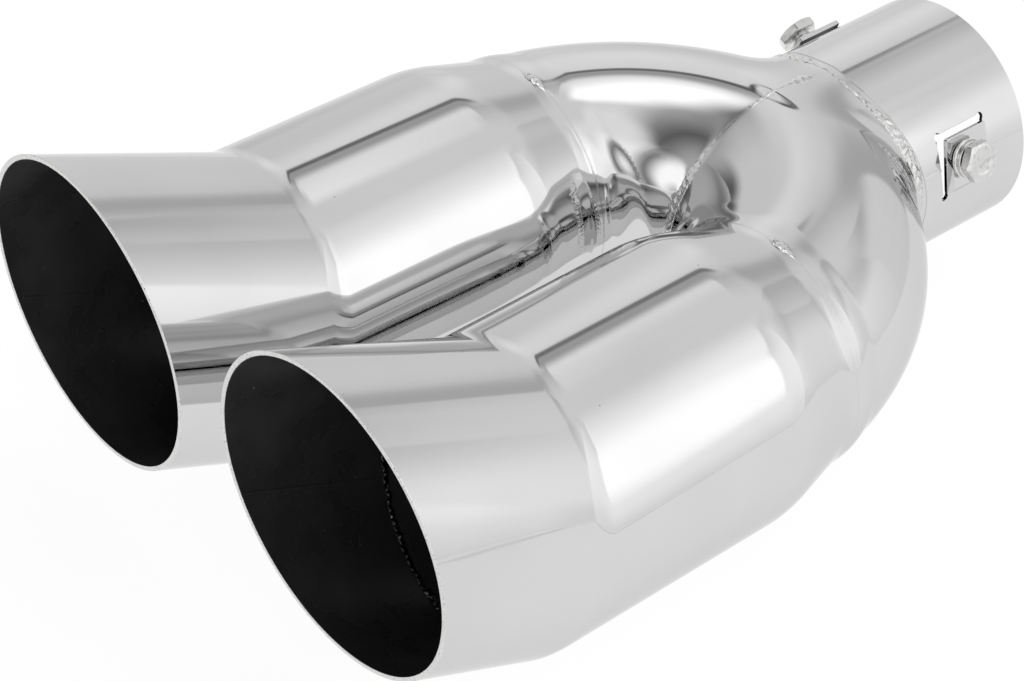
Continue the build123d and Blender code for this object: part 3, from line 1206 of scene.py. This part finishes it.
@dataclass
class Welds:
    """Every weld that shows: creases, barrels' necks, mitre, saddle and lengthwise joints.

    Places along a weld are angles in degrees round its tube.
    """

    sizes: TipSizes
    finishes: Finishes
    elbows: ElbowPair
    neck_columns: int = 720
    neck_sink: float = 0.07
    tacks: tuple[Triple, ...] = ((1.0, 84.0, 6.0), (0.35, 151.0, 4.0))
    crease_columns: int = 900
    joint_columns: int = 360
    joint_column: int = 203
    mitre_ends: Pair = (64.0, 296.0)
    mitre_points: int = 620
    mitre_rough: Pair = (128.0, 232.0)
    mitre_pit: Pair = (110.0, 3.0)
    mitre_start: Pair = (74.0, 7.0)
    saddle_step: float = 0.4
    saddle_drop: float = 2.3
    saddle_broad: tuple[Triple, ...] = ((1.0, 36.0, 26.0), (1.0, 150.0, 24.0))
    saddle_patches: tuple[Triple, ...] = ((1.0, 108.0, 8.0), (1.0, 268.0, 16.0))

    def _on_outside(self, points: Array) -> Array:
        """Points moved onto the elbows' outer skin."""
        return onto_surface(self.elbows.outside, points, 3)

    def _pipe(self, side: Side, columns: int) -> TwinPipe:
        """One barrel and outlet with that many columns."""
        return TwinPipe(self.sizes, self.finishes, side, columns=columns)

    def _lay(self, name: str, finish: Material, *shape: object, **options: object) -> Object:
        """Lays a bead, from what Bead takes, in one finish."""
        return Bead(*shape, **options).skin().piece(name, [finish], Slot.TUBE)

    def neck(self, side: Side) -> Object:
        """Thin dressed weld between one barrel and its elbow, with a rough blob where it was tacked."""
        s, pipe = self.sizes, self._pipe(side, self.neck_columns)
        degrees = np.arange(self.neck_columns) * 360.0 / self.neck_columns
        tack = humps(degrees, self.tacks)
        radius = s.barrel_neck_od / 2 - self.neck_sink
        path = pipe.origin + pipe.along * s.barrel_length + radius * pipe.ring
        return self._lay(f"neck_weld_{pipe.hand}", self.finishes.polished, path, pipe.ring, 0.3 + 1.5 * tack,
                         0.025 + 0.4 * tack, 11 + side, True, ripple=2.4, ripple_depth=0.25, ragged=0.05,
                         across=11)

    def mitre(self) -> Object:
        """Weld along the mitre between the elbows, ground down on top and left rough in the crotch."""
        s, centre, (first, last) = self.sizes, self.sizes.bend_centre(), self.mitre_ends
        turn = np.radians(np.linspace(first, last, self.mitre_points))
        from_centre = s.bend_radius + s.elbow_od / 2 * np.cos(turn)
        y = centre[1] + np.sqrt(from_centre**2 - centre[0] ** 2)
        path = self._on_outside(np.stack([np.zeros_like(turn), y, s.elbow_od / 2 * np.sin(turn)], -1))
        facing = unit(slope_of(self.elbows.outside, path))
        degrees = np.degrees(turn)

        def between(low: float, high: float, run: float) -> Array:
            """Ramp up from the low angle and down to the high one."""
            return smoothstep((degrees - low) / run) * smoothstep((high - degrees) / run)

        rough, ends = between(*self.mitre_rough, 20.0), between(first, last, 6.0)
        pit, start = bump_at(degrees, *self.mitre_pit), bump_at(degrees, *self.mitre_start)
        width = (0.5 + 0.75 * rough + 1.3 * pit + 1.1 * start) * ends + 0.1
        height = (0.06 + 0.24 * rough - 0.36 * pit + 0.2 * start) * ends
        return self._lay("mitre_weld", self.finishes.weld, path, facing, width, height, 21, ripple=2.4,
                         ripple_depth=0.3, ragged=0.12, onto=self._on_outside)

    def saddle(self) -> Object:
        """Weld band round the collar, broad and rippled where it comes down on the elbows."""
        s, e = self.sizes, self.elbows
        turn = np.radians(np.arange(0.0, 360.0, self.saddle_step))
        start = s.collar_radius * spoke(turn) + (e.collar_edge(turn) - self.saddle_drop)[:, None] * Y_AXIS
        path = self._on_outside(start)
        facing = unit(slope_of(e.outside, path))
        degrees = np.degrees(turn)
        broad, patch = humps(degrees, self.saddle_broad), humps(degrees, self.saddle_patches)
        width, height = 0.55 + 1.35 * broad + 1.5 * patch, 0.07 + 0.3 * broad + 0.2 * patch
        return self._lay("saddle_weld", self.finishes.weld, path, facing, width, height, 31, True, ripple=3.1,
                         ripple_depth=0.6, ragged=0.12, onto=self._on_outside, across=17)

    def crease(self, side: Side) -> Object:
        """Ragged root of the weld inside one crease."""
        count, pipe = self.crease_columns, self._pipe(side, self.crease_columns)
        path = pipe.line(pipe.inner_radius, np.zeros((1, count)), pipe.inner_blend)[0]
        rng = np.random.default_rng(SEED + 41 + side)
        at = np.arange(count) * 2 * np.pi * pipe.inner_radius / count
        drips = np.clip(wavy(at, rng, 8, 3.1), 0.0, None)
        return self._lay(f"crease_root_{pipe.hand}", self.finishes.root, path, -pipe.ring, 0.75 + 0.4 * drips,
                         0.3 + 0.45 * drips, 41 + side, True, ripple=1.7, ripple_depth=0.5, ragged=0.35,
                         across=9)

    def tube_joint(self, side: Side) -> Object:
        """Lengthwise joint of one outlet's tube: a thin line inside, in the near-black skin that paints the
        shade within the tubes.
        """
        pipe, column, count = self._pipe(side, self.joint_columns), self.joint_column, 60
        reach = float(pipe.mouth_distance(pipe.inner_radius)[column]) - 1.2
        along = np.repeat(np.linspace(1.5, reach, count)[:, None], self.joint_columns, 1)
        path = pipe.line(pipe.inner_radius, along, pipe.inner_blend)[:, column]
        return self._lay(f"tube_joint_{pipe.hand}", self.finishes.dark, path,
                         np.repeat(-pipe.ring[column][None], count, 0), np.full(count, 0.45),
                         np.full(count, 0.12), 51 + side, ragged=0.05, across=7)

    def collar_joint(self) -> Object:
        """Lengthwise joint of the collar's tube, from the first tab down to the saddle."""
        s, count = self.sizes, 40
        angle = np.radians(s.tab_angles[0] - 0.5)
        low = float(self.elbows.collar_edge(np.array([angle]))[0]) + 0.2
        y = np.linspace(low, -s.tab_from_end - s.tab_width / 2 - s.slit_width - 0.4, count)
        path = spoke(angle) * s.collar_radius + y[:, None] * Y_AXIS
        facing = np.repeat(spoke(angle)[None], count, 0)
        return self._lay("collar_joint", self.finishes.polished, path, facing, np.full(count, 0.3),
                         np.full(count, 0.035), 61, ragged=0.15, across=7)

    def build(self) -> None:
        """Builds every weld."""
        for side in Side:
            self.neck(side)
            self.crease(side)
            self.tube_joint(side)
        self.mitre()
        self.saddle()
        self.collar_joint()


@dataclass
class InletCollar:
    """Straight inlet tube with three lanced clamp tabs, wrapped from a flat pattern."""

    sizes: TipSizes
    finishes: Finishes
    elbows: ElbowPair
    cut_at: float = 205.0
    hole_steps: int = 48
    around_steps: int = 224
    side_steps: int = 32
    tab_corner: float = 0.7
    tab_steps: int = 40
    tab_run_on: float = 0.4
    tab_pull: float = 0.95

    def window(self, free_side: int) -> Array:
        """Flat outline of the U-shaped cut round one tab, with relief holes at its corners.

        Args:
            free_side: 1 where the tab's free end lies towards larger angles, else -1.

        Returns:
            Points in mm from the tab's centre: round the collar, and along its axis.
        """
        s, corner = self.sizes, self.tab_corner
        half, gap, hole = s.tab_width / 2, s.slit_width / 2, s.relief_hole / 2
        edge, span = half + gap, s.tab_half_span
        dip = np.degrees(np.arctan2(gap, np.sqrt(hole**2 - gap**2)))
        path = []
        for cx, cy, start, end, radius, steps in (
                (-span, edge, 360 - dip, dip, hole, 20),
                (span, edge, 180 - dip, -90 + dip, hole, 14),
                (span, -edge, 90 - dip, -180 + dip, hole, 14),
                (-span, -edge, -dip, -360 + dip, hole, 20),
                (span - gap - corner, -half + corner, -90, 0, corner, 5),
                (span - gap - corner, half - corner, 0, 90, corner, 5)):
            turn = np.radians(np.linspace(start, end, steps))
            path.append(np.stack([cx + radius * np.cos(turn), cy + radius * np.sin(turn)], -1))
        return np.concatenate(path) * [free_side, 1.0]

    def _tab_profile(self) -> tuple[Array, Array]:
        """Middle line of a tab: distance along it from its root, and place across and outwards."""
        s = self.sizes
        middle = s.collar_radius - s.wall / 2
        root = s.tab_half_span / s.collar_radius
        start = np.array([-middle * np.sin(root), middle * np.cos(root)])
        heading = np.array([np.cos(root), np.sin(root)])
        level = s.tab_underside + s.wall / 2
        end = np.array([start[0] + s.tab_rise_run + self.tab_run_on, level])
        t = np.linspace(0, 1, self.tab_steps)[:, None]
        pull = s.tab_rise_run * self.tab_pull
        curve = ((1 - t) ** 3 * start + 3 * t * (1 - t) ** 2 * (start + heading * pull)
                 + 3 * t**2 * (1 - t) * (end - np.array([pull, 0.0])) + t**3 * end)
        curve = np.concatenate([curve, [[s.tab_half_span - s.slit_width / 2, level]]])
        return run_of(curve), curve

    def place(self, flat: Array, depth: Array) -> Array:
        """Bends flat points round the collar, and the tabs' points up off it.

        Args:
            flat: distances round the collar from its cut and along Y, in mm.
            depth: depth below the outer face in mm.

        Returns:
            Points in mm.
        """
        s = self.sizes
        turn = flat[:, 0] / s.collar_radius + np.radians(self.cut_at)
        out = (s.collar_radius - depth)[:, None] * spoke(turn)
        out[:, 1] = flat[:, 1]
        length, curve = self._tab_profile()
        slope = unit(np.gradient(curve, length, axis=0))
        margin = s.slit_width * 0.25
        for angle, free_side in zip(s.tab_angles, s.tab_free_sides):
            centre = np.radians(angle)
            around = (turn - centre + np.pi) % (2 * np.pi) - np.pi
            along = around * s.collar_radius * free_side
            on_tab = ((along > -s.tab_half_span) & (along < s.tab_half_span - margin)
                      & (np.abs(flat[:, 1] + s.tab_from_end) < s.tab_width / 2 + margin))
            at = (along[on_tab] + s.tab_half_span) * length[-1] / (2 * s.tab_half_span - s.slit_width / 2)
            x, y, tx, ty = (np.interp(at, length, values) for values in (*curve.T, *slope.T))
            past = np.maximum(at - length[-1], 0)
            lift = s.wall / 2 - depth[on_tab]
            x, y = x + past - ty * lift, y + tx * lift
            across = np.array([-np.sin(centre), 0.0, np.cos(centre)]) * free_side
            out[on_tab] = x[:, None] * across + y[:, None] * spoke(centre)
            out[on_tab, 1] = flat[on_tab, 1]
        return out

    def build(self) -> Object:
        """Builds the collar."""
        s, f, count = self.sizes, self.finishes, self.around_steps
        full_turn = 2 * np.pi * s.collar_radius
        along = np.linspace(0, full_turn, count + 1)
        edge_y = self.elbows.collar_edge(along / s.collar_radius + np.radians(self.cut_at))

        def side(x: float, low: float, high: float) -> Array:
            """Points between the corners on a side of the pattern."""
            y = np.linspace(low, high, self.side_steps)[1:-1]
            return np.stack([np.full(len(y), x), y], -1)

        outline = np.concatenate([np.stack([along, edge_y], -1), side(full_turn, edge_y[-1], 0),
                                  np.stack([along[::-1], np.zeros(count + 1)], -1), side(0.0, 0, edge_y[0])])
        holes = []
        turn = 2 * np.pi * np.arange(self.hole_steps) / self.hole_steps
        ring = s.screw_thread / 2 * np.stack([np.cos(turn), np.sin(turn)], -1)
        for angle, free_side in zip(s.tab_angles, s.tab_free_sides):
            from_cut = np.radians(angle - self.cut_at) % (2 * np.pi)
            centre = np.array([from_cut * s.collar_radius, -s.tab_from_end])
            holes += [self._clockwise(loop + centre) for loop in (self.window(free_side), ring)]
        skin = Sheet(outline, tuple(holes), self.place, s.wall).skin()
        # The collar's inside takes the near-black skin that paints the shade inside.
        return skin.piece("inlet_collar_skin", [f.polished, f.mill_painted_shade], Slot.TUBE, ["inlet_collar"])

    @staticmethod
    def _clockwise(loop: Array) -> Array:
        """The loop turned so that the metal lies outside it."""
        ahead = np.roll(loop, -1, 0)
        area = (loop[:, 0] * ahead[:, 1] - ahead[:, 0] * loop[:, 1]).sum()
        return loop if area < 0 else loop[::-1]


@dataclass
class ClampScrew:
    """Hexagon screw and the drawn, threaded boss that it runs in.

    Profiles are radii and heights in mm: the dish's heights from the head's top and the washer's from the
    seat, the foot outwards and up from the boss's base, the tip inwards and up from the screw's end.
    """

    sizes: TipSizes
    finishes: Finishes
    number: int
    face_od: float = 9.4
    corner_radius: float = 5.68
    chamfer_slope: float = 0.577
    thread_pitch: float = 1.0
    thread_depth: float = 0.3
    thread_step: float = 0.125
    clearance: float = 0.1
    boss_thread: Pair = (3.02, 0.18)
    dish: tuple[Pair, ...] = ((0.01, -0.16), (1.6, -0.16), (2.7, -0.15), (3.0, -0.12), (3.3, -0.03),
                              (3.5, 0.0), (3.8, 0.0))
    washer: tuple[Pair, ...] = ((4.75, 0.12), (4.6, 0.1), (4.55, 0.0), (4.4, 0.0), (3.2, 0.0), (3.0, -0.03))
    tip: tuple[Pair, ...] = ((0.32, 0.3), (0.5, 0.05), (0.6, 0.0))
    foot: tuple[Pair, ...] = ((0.55, -0.04), (0.3, 0.03), (0.12, 0.14), (0.03, 0.32), (0.0, 0.6))
    half_face: tuple[float, ...] = (1.2, 2.5, 5.0, 10.0, 17.0, 24.0)

    def __post_init__(self) -> None:
        """Works out the levels from the collar's axis, and the columns' angles."""
        s = self.sizes
        self.tab_top = s.tab_underside + s.wall
        self.boss_top = self.tab_top + s.boss_height
        self.seat = self.boss_top + s.head_stand_off[self.number - 1]
        self.outward = spoke(np.radians(s.tab_angles[self.number - 1]))
        turns = np.array([*(-t for t in self.half_face[::-1]), 0.0, *self.half_face, 30.0])
        self.turn = np.radians(np.concatenate([turns + 60.0 * k for k in range(6)]))

    def _turned(self, rows: Sequence[tuple[object, object]]) -> Array:
        """Grid of points from radii and heights, each one number or one for each column."""
        other = np.cross(self.outward, Y_AXIS)
        ring = np.cos(self.turn)[:, None] * Y_AXIS + np.sin(self.turn)[:, None] * other
        centre = -Y_AXIS * self.sizes.tab_from_end
        full = np.ones((len(self.turn), 1))
        return np.stack([centre + full * np.reshape(h, (-1, 1)) * self.outward
                         + full * np.reshape(r, (-1, 1)) * ring for r, h in rows])

    def _thread(self, start: float, end: float) -> Iterator[tuple[float, Array]]:
        """Heights down a thread, and for each the distance from the groove round it, from 0 to 1."""
        for h in np.arange(start, end, -self.thread_step):
            phase = (h / self.thread_pitch + self.turn / (2 * np.pi)) % 1.0
            yield h, np.abs(2 * phase - 1)

    def screw(self) -> Object:
        """Builds the screw: forged head with a turned chamfer, washer face, thread and tip."""
        s, seat = self.sizes, self.seat
        top, end = seat + s.head_height, seat - s.screw_shank
        off = (np.degrees(self.turn) + 30.0) % 60.0 - 30.0
        flat = s.head_across_flats / 2 / np.cos(np.radians(30.0 - np.abs(off)))
        hexagon = np.minimum(flat, self.corner_radius)
        face = self.face_od / 2
        shoulder = top - (hexagon - face) * self.chamfer_slope
        rows = [(r, top + h) for r, h in self.dish]
        rows += [(face - 0.12, top), (face, top - 0.03), (face + 0.1, top - 0.08)]
        rows += [(face + 0.1 + (hexagon - face - 0.1) * k, top - 0.08 + (shoulder - top + 0.08) * k)
                 for k in (0.35, 0.7, 0.92)]
        rows += [(hexagon, shoulder - 0.07), (hexagon, shoulder - 0.2), (hexagon, seat + 0.6),
                 (hexagon, seat + 0.3), (hexagon - 0.03, seat + 0.2), (hexagon - 0.14, seat + 0.13)]
        rows += [(r, seat + h) for r, h in self.washer]
        crest = s.screw_thread / 2 - self.clearance
        for h, away in self._thread(seat - 0.1, end + 0.55):
            rows.append((crest - self.thread_depth * np.clip(1.35 * away - 0.12, 0.0, 1.0), h))
        rows += [*((crest - r, end + h) for r, h in self.tip), (0.01, end)]
        return self._made(rows, False, f"clamp_screw_{self.number}", f"clamp_bolt_{self.number}")

    def boss(self) -> Object:
        """Builds the boss: a ring drawn up out of the tab, rounded over and threaded."""
        base, top, r = self.tab_top, self.boss_top, self.sizes.boss_od / 2
        rows = [(r + out, base + up) for out, up in self.foot] + [(r - 0.02, top - 0.5)]
        rows += [(r - 0.5 + 0.48 * np.cos(a), top - 0.48 + 0.48 * np.sin(a))
                 for a in np.radians([15, 35, 55, 75, 90])]
        rows += [(3.75, top), (3.55, top - 0.03), (3.15, top - 0.35)]
        bore, depth = self.boss_thread
        for h, away in self._thread(top - 0.4, base - 0.02):
            rows.append((bore + depth * np.clip(1.3 - 1.35 * away, 0.0, 1.0), h))
        rows += [(3.3, base - 0.06), (4.4, base - 0.1)]
        return self._made(rows, True, f"drawn_boss_{self.number}", f"clamp_boss_{self.number}")

    def _made(self, rows: Sequence[tuple[object, object]], closed: bool, name: str, node: str) -> Object:
        """Makes a piece from its rows.

        Args:
            rows: radii and heights.
            closed: whether the last row joins the first.
            name: the piece's name.
            node: the CAD node that it replaces.

        Returns:
            The new object.
        """
        grid = self._turned(rows)
        highest = np.argmax(grid.reshape(-1, 3) @ self.outward)
        skin = outward_grid(grid, closed, np.array([highest]), self.outward)
        return skin.piece(name, [self.finishes.screw], Slot.SCREW, [node])


# Studio


@dataclass(frozen=True)
class Panel:
    """Soft panel of the studio, on a map of directions in degrees: away from +Y, to +X right and to +Z up."""

    name: str
    level: float
    centre: Pair
    half: Pair
    turn: float
    soft: Pair

    def lay(self, n: Nodes, place: Socket, below: object) -> Socket:
        """Lays the panel over the light level that lies below it.

        Args:
            n: the world's nodes.
            place: position on the map, with 1 as its third part.
            below: light level so far.

        Returns:
            The new light level.
        """
        turn = np.radians(self.turn)
        axes = (np.cos(turn), np.sin(turn)), (-np.sin(turn), np.cos(turn))
        masks = []
        for axis, half, soft in zip(axes, self.half, self.soft):
            shift = -float(np.dot(axis, self.centre))
            off = n.add("ShaderNodeVectorMath", {0: place, 1: (*axis, shift)}, operation="DOT_PRODUCT")
            edge = {"Value": n.math("ABSOLUTE", off.outputs["Value"]), "From Min": half + soft / 2,
                    "From Max": half - soft / 2}
            masks.append(n.add("ShaderNodeMapRange", edge, interpolation_type="SMOOTHSTEP").outputs["Result"])
        return n.blend(n.math("MULTIPLY", *masks), below, self.level)


PANELS = (
    Panel("ring of white behind the camera", 1.39, (20.9, 179.9), (150.4, 19.0), -50, (1.5, 17.9)),
    Panel("floor side", 0.88, (-36.3, -95.1), (117.9, 122.2), -12, (1.5, 9.5)),
    Panel("right wall", 1.14, (100.1, 6.3), (59.2, 57.8), 25, (1.5, 35.0)),
    Panel("big right softbox", 1.27, (54.3, 65.3), (39.2, 32.8), -34, (22.6, 2.6)),
    Panel("left wall", 0.80, (-77.4, 56.0), (68.3, 64.3), -48, (1.8, 19.4)),
    Panel("left strip", 1.52, (-47.7, 12.1), (4.8, 19.1), -16, (9.6, 52.6)),
    Panel("ceiling gap", 0.12, (11.9, 112.1), (39.3, 10.5), -3, (24.7, 30.1)),
    Panel("ceiling gap right", 0.22, (91.6, 85.3), (50.3, 6.4), -35, (25.1, 16.7)),
    Panel("hot core", 1.49, (51.2, 25.1), (17.7, 5.9), -63, (17.7, 2.4)),
    Panel("overhead panel", 1.00, (6.3, 63.7), (52.7, 24.6), 20, (38.7, 18.5)),
    Panel("upper middle", 0.85, (4.1, 55.0), (15.7, 23.2), -31, (13.3, 19.6)),
    Panel("right middle", 1.32, (28.2, 18.7), (0.6, 23.4), 28, (59.9, 9.7)),
    Panel("overhead hot panel", 1.60, (-19.6, 74.3), (17.4, 11.5), -2, (10.9, 16.6)),
    Panel("dark left of overhead", 0.24, (-44.7, 83.1), (14.6, 27.1), -41, (12.1, 46.8)),
    Panel("dark diagonal", 0.39, (-70.3, 70.2), (52.9, 6.1), 57, (1.6, 33.8)),
    Panel("dark step", 0.42, (-31.2, 50.3), (8.0, 5.0), -30, (8.0, 8.0)),
    Panel("dark line", 0.09, (-34.0, 46.8), (9.0, 1.9), -30, (8.0, 2.2)),
    Panel("centre shade", 0.44, (-17.4, 20.2), (4.3, 30.2), 7, (35.4, 1.5)),
    Panel("far left shade", 0.13, (-76.7, 8.7), (8.7, 16.9), 35, (8.8, 34.4)),
    Panel("low right fill", 0.91, (46.3, -29.5), (20.0, 20.3), 32, (9.4, 45.7)),
    Panel("left fill", 0.87, (-45.4, 4.4), (14.1, 22.1), -28, (8.2, 70.0)),
    Panel("dome shade", 0.54, (-15.6, 11.0), (5.0, 22.0), 10, (9.0, 12.0)),
    Panel("dome light", 0.87, (-0.7, 5.9), (11.4, 16.0), 10, (1.8, 12.0)),
)


@dataclass
class Studio:
    """Camera, floor and light.

    The sheet is the floor's outline in mm. Flat bands lie round it, each with a width in mm and a level that
    the tubes reflect; their darker and lighter levels paint the shade and light of a folded paper edge.
    """

    camera_mm: Triple = (487.11, -587.81, 517.03)
    right: Triple = (0.6513622741129859, 0.7582650577382322, 0.027591485563383644)
    down: Triple = (0.48726851005997857, -0.39014375417260005, -0.781253640109304)
    ahead: Triple = (-0.581632690764788, 0.5223236097414559, -0.6236036078634946)
    focal_px: float = 3406.67
    image_width: int = 1024
    sensor_mm: float = 36.0
    base_level: float = 0.524
    floor_level: float = 1.000
    white: float = 1.06
    shadow_share: float = 0.14
    mirror_share: float = 0.97
    sheet: tuple[Pair, ...] = ((-300, -450), (220, -450), (242, -90), (303, 38), (303, 138), (20, 225),
                               (-300, 300))
    # Bands round the sheet's edge, as width in mm and level: the darker and lighter levels are painted shade
    # and painted light of a folded paper edge, seen only in reflections.
    painted_rim_bands: tuple[Pair, ...] = ((5.0, 0.70), (8.0, 1.06), (4.0, 0.84))

    def camera(self) -> None:
        """Makes the camera at the photograph's viewpoint."""
        data = bpy.data.cameras.new("camera")
        data.sensor_fit = "HORIZONTAL"
        data.sensor_width = self.sensor_mm
        data.lens = self.focal_px / self.image_width * self.sensor_mm
        obj = show("camera", data)
        columns = np.array([self.right, self.down, self.ahead]) * [[1.0], [-1.0], [-1.0]]
        matrix = Matrix(columns.T.tolist()).to_4x4()
        matrix.translation = Vector(self.camera_mm) * MM
        obj.matrix_world = matrix
        bpy.context.scene.camera = obj

    def _paper(self, name: str, level: float) -> Material:
        """Pale matt paper: white to the camera but for a faint shadow, and at a set level in the mirror.

        Args:
            name: the material's name.
            level: brightness that the polished tube reflects.

        Returns:
            The material.
        """
        n = Nodes(name)
        ray = n.add("ShaderNodeLightPath")
        camera, mirror = ray.outputs["Is Camera Ray"], ray.outputs["Is Glossy Ray"]
        grain = n.remap(n.noise(900.0, 3.0), 0.3, 0.7, 0.88, 0.91)
        grey = n.add("ShaderNodeCombineColor", {0: grain, 1: grain, 2: grain}).outputs[0]
        matt = n.add("ShaderNodeBsdfDiffuse", {"Color": grey})
        seen = n.blend(mirror, self.white, level)
        glow = n.add("ShaderNodeEmission", {"Color": (1.0, 1.0, 1.0), "Strength": seen})
        share = n.math("ADD", n.math("MULTIPLY", camera, 1.0 - self.shadow_share),
                       n.math("MULTIPLY", mirror, self.mirror_share))
        mixed = n.add("ShaderNodeMixShader", {0: share, 1: matt.outputs[0], 2: glow.outputs[0]})
        return n.finish(mixed.outputs[0])

    def floor(self, height: float) -> None:
        """Makes the white sheet that the tip lies on, with flat edge bands that only the tubes' reflections
        show, painted with the shade and light of a folded paper edge.

        Args:
            height: Z of the floor in metres.
        """
        loop = np.array(self.sheet)
        ahead = unit(np.roll(loop, -1, 0) - loop)
        side = np.stack([ahead[:, 1], -ahead[:, 0]], -1)
        miter = unit(side + np.roll(side, 1, 0))
        miter /= (miter * side).sum(-1, keepdims=True)
        widths, levels = zip((0.0, self.floor_level), *self.painted_rim_bands)
        rings = np.concatenate([loop + miter * w for w in np.cumsum(widths)])
        points = np.hstack([rings, np.full((len(rings), 1), height / MM)]) * MM
        count = len(loop)
        faces, level_of_face = [list(range(count))], [0]
        for k, i in product(range(len(self.painted_rim_bands)), range(count)):
            j = (i + 1) % count
            faces.append([k * count + i, (k + 1) * count + i, (k + 1) * count + j, k * count + j])
            level_of_face.append(k + 1)
        mesh = bpy.data.meshes.new("floor")
        mesh.from_pydata(points.tolist(), [], faces)
        # The first material is the floor paper; the others are the painted shade and light of the edge bands.
        for k, level in enumerate(levels):
            mesh.materials.append(self._paper(f"floor_and_painted_edge_{k}", level))
        mesh.polygons.foreach_set("material_index", level_of_face)
        show("floor", mesh)

    def world(self) -> None:
        """Makes the surroundings: plain white to the camera, and soft panels to everything else."""
        n = Nodes("studio", world=True)
        x, y, z = n.add("ShaderNodeSeparateXYZ", {0: n.coords.outputs["Generated"]}).outputs
        away = n.math("MULTIPLY", n.math("ARCCOSINE", y), 180 / np.pi)
        flat = n.math("SQRT", n.math("ADD", n.math("MULTIPLY", x, x), n.math("MULTIPLY", z, z)))
        stretch = n.math("DIVIDE", away, n.math("MAXIMUM", flat, 1e-4))
        right, up = n.math("MULTIPLY", x, stretch), n.math("MULTIPLY", z, stretch)
        place = n.add("ShaderNodeCombineXYZ", {0: right, 1: up, 2: 1.0}).outputs[0]
        level: object = self.base_level
        for panel in PANELS:
            level = panel.lay(n, place, level)
        seen = n.blend(n.add("ShaderNodeLightPath").outputs["Is Camera Ray"], level, 1.0)
        glow = n.add("ShaderNodeBackground", {"Color": (1.0, 1.0, 1.0), "Strength": seen})
        bpy.context.scene.world = n.finish(glow.outputs[0])
        bpy.context.scene.view_settings.view_transform = "Standard"


def main() -> None:
    """Builds the tip, piece by piece, and the studio round it."""
    logging.basicConfig(level=logging.INFO, format="%(name)s %(message)s")
    sizes, finishes = TipSizes(), Finishes()
    for side in Side:
        pipe = TwinPipe(sizes, finishes, side)
        pipe.outlet()
        pipe.barrel()
    elbows = ElbowPair(sizes, finishes)
    elbows.build()
    InletCollar(sizes, finishes, elbows).build()
    Welds(sizes, finishes, elbows).build()
    for number in (1, 2, 3):
        clamp = ClampScrew(sizes, finishes, number)
        clamp.boss()
        clamp.screw()
    studio = Studio()
    studio.camera()
    studio.floor(CAD_BOX[0][2])
    studio.world()


if __name__ == "__main__":
    main()
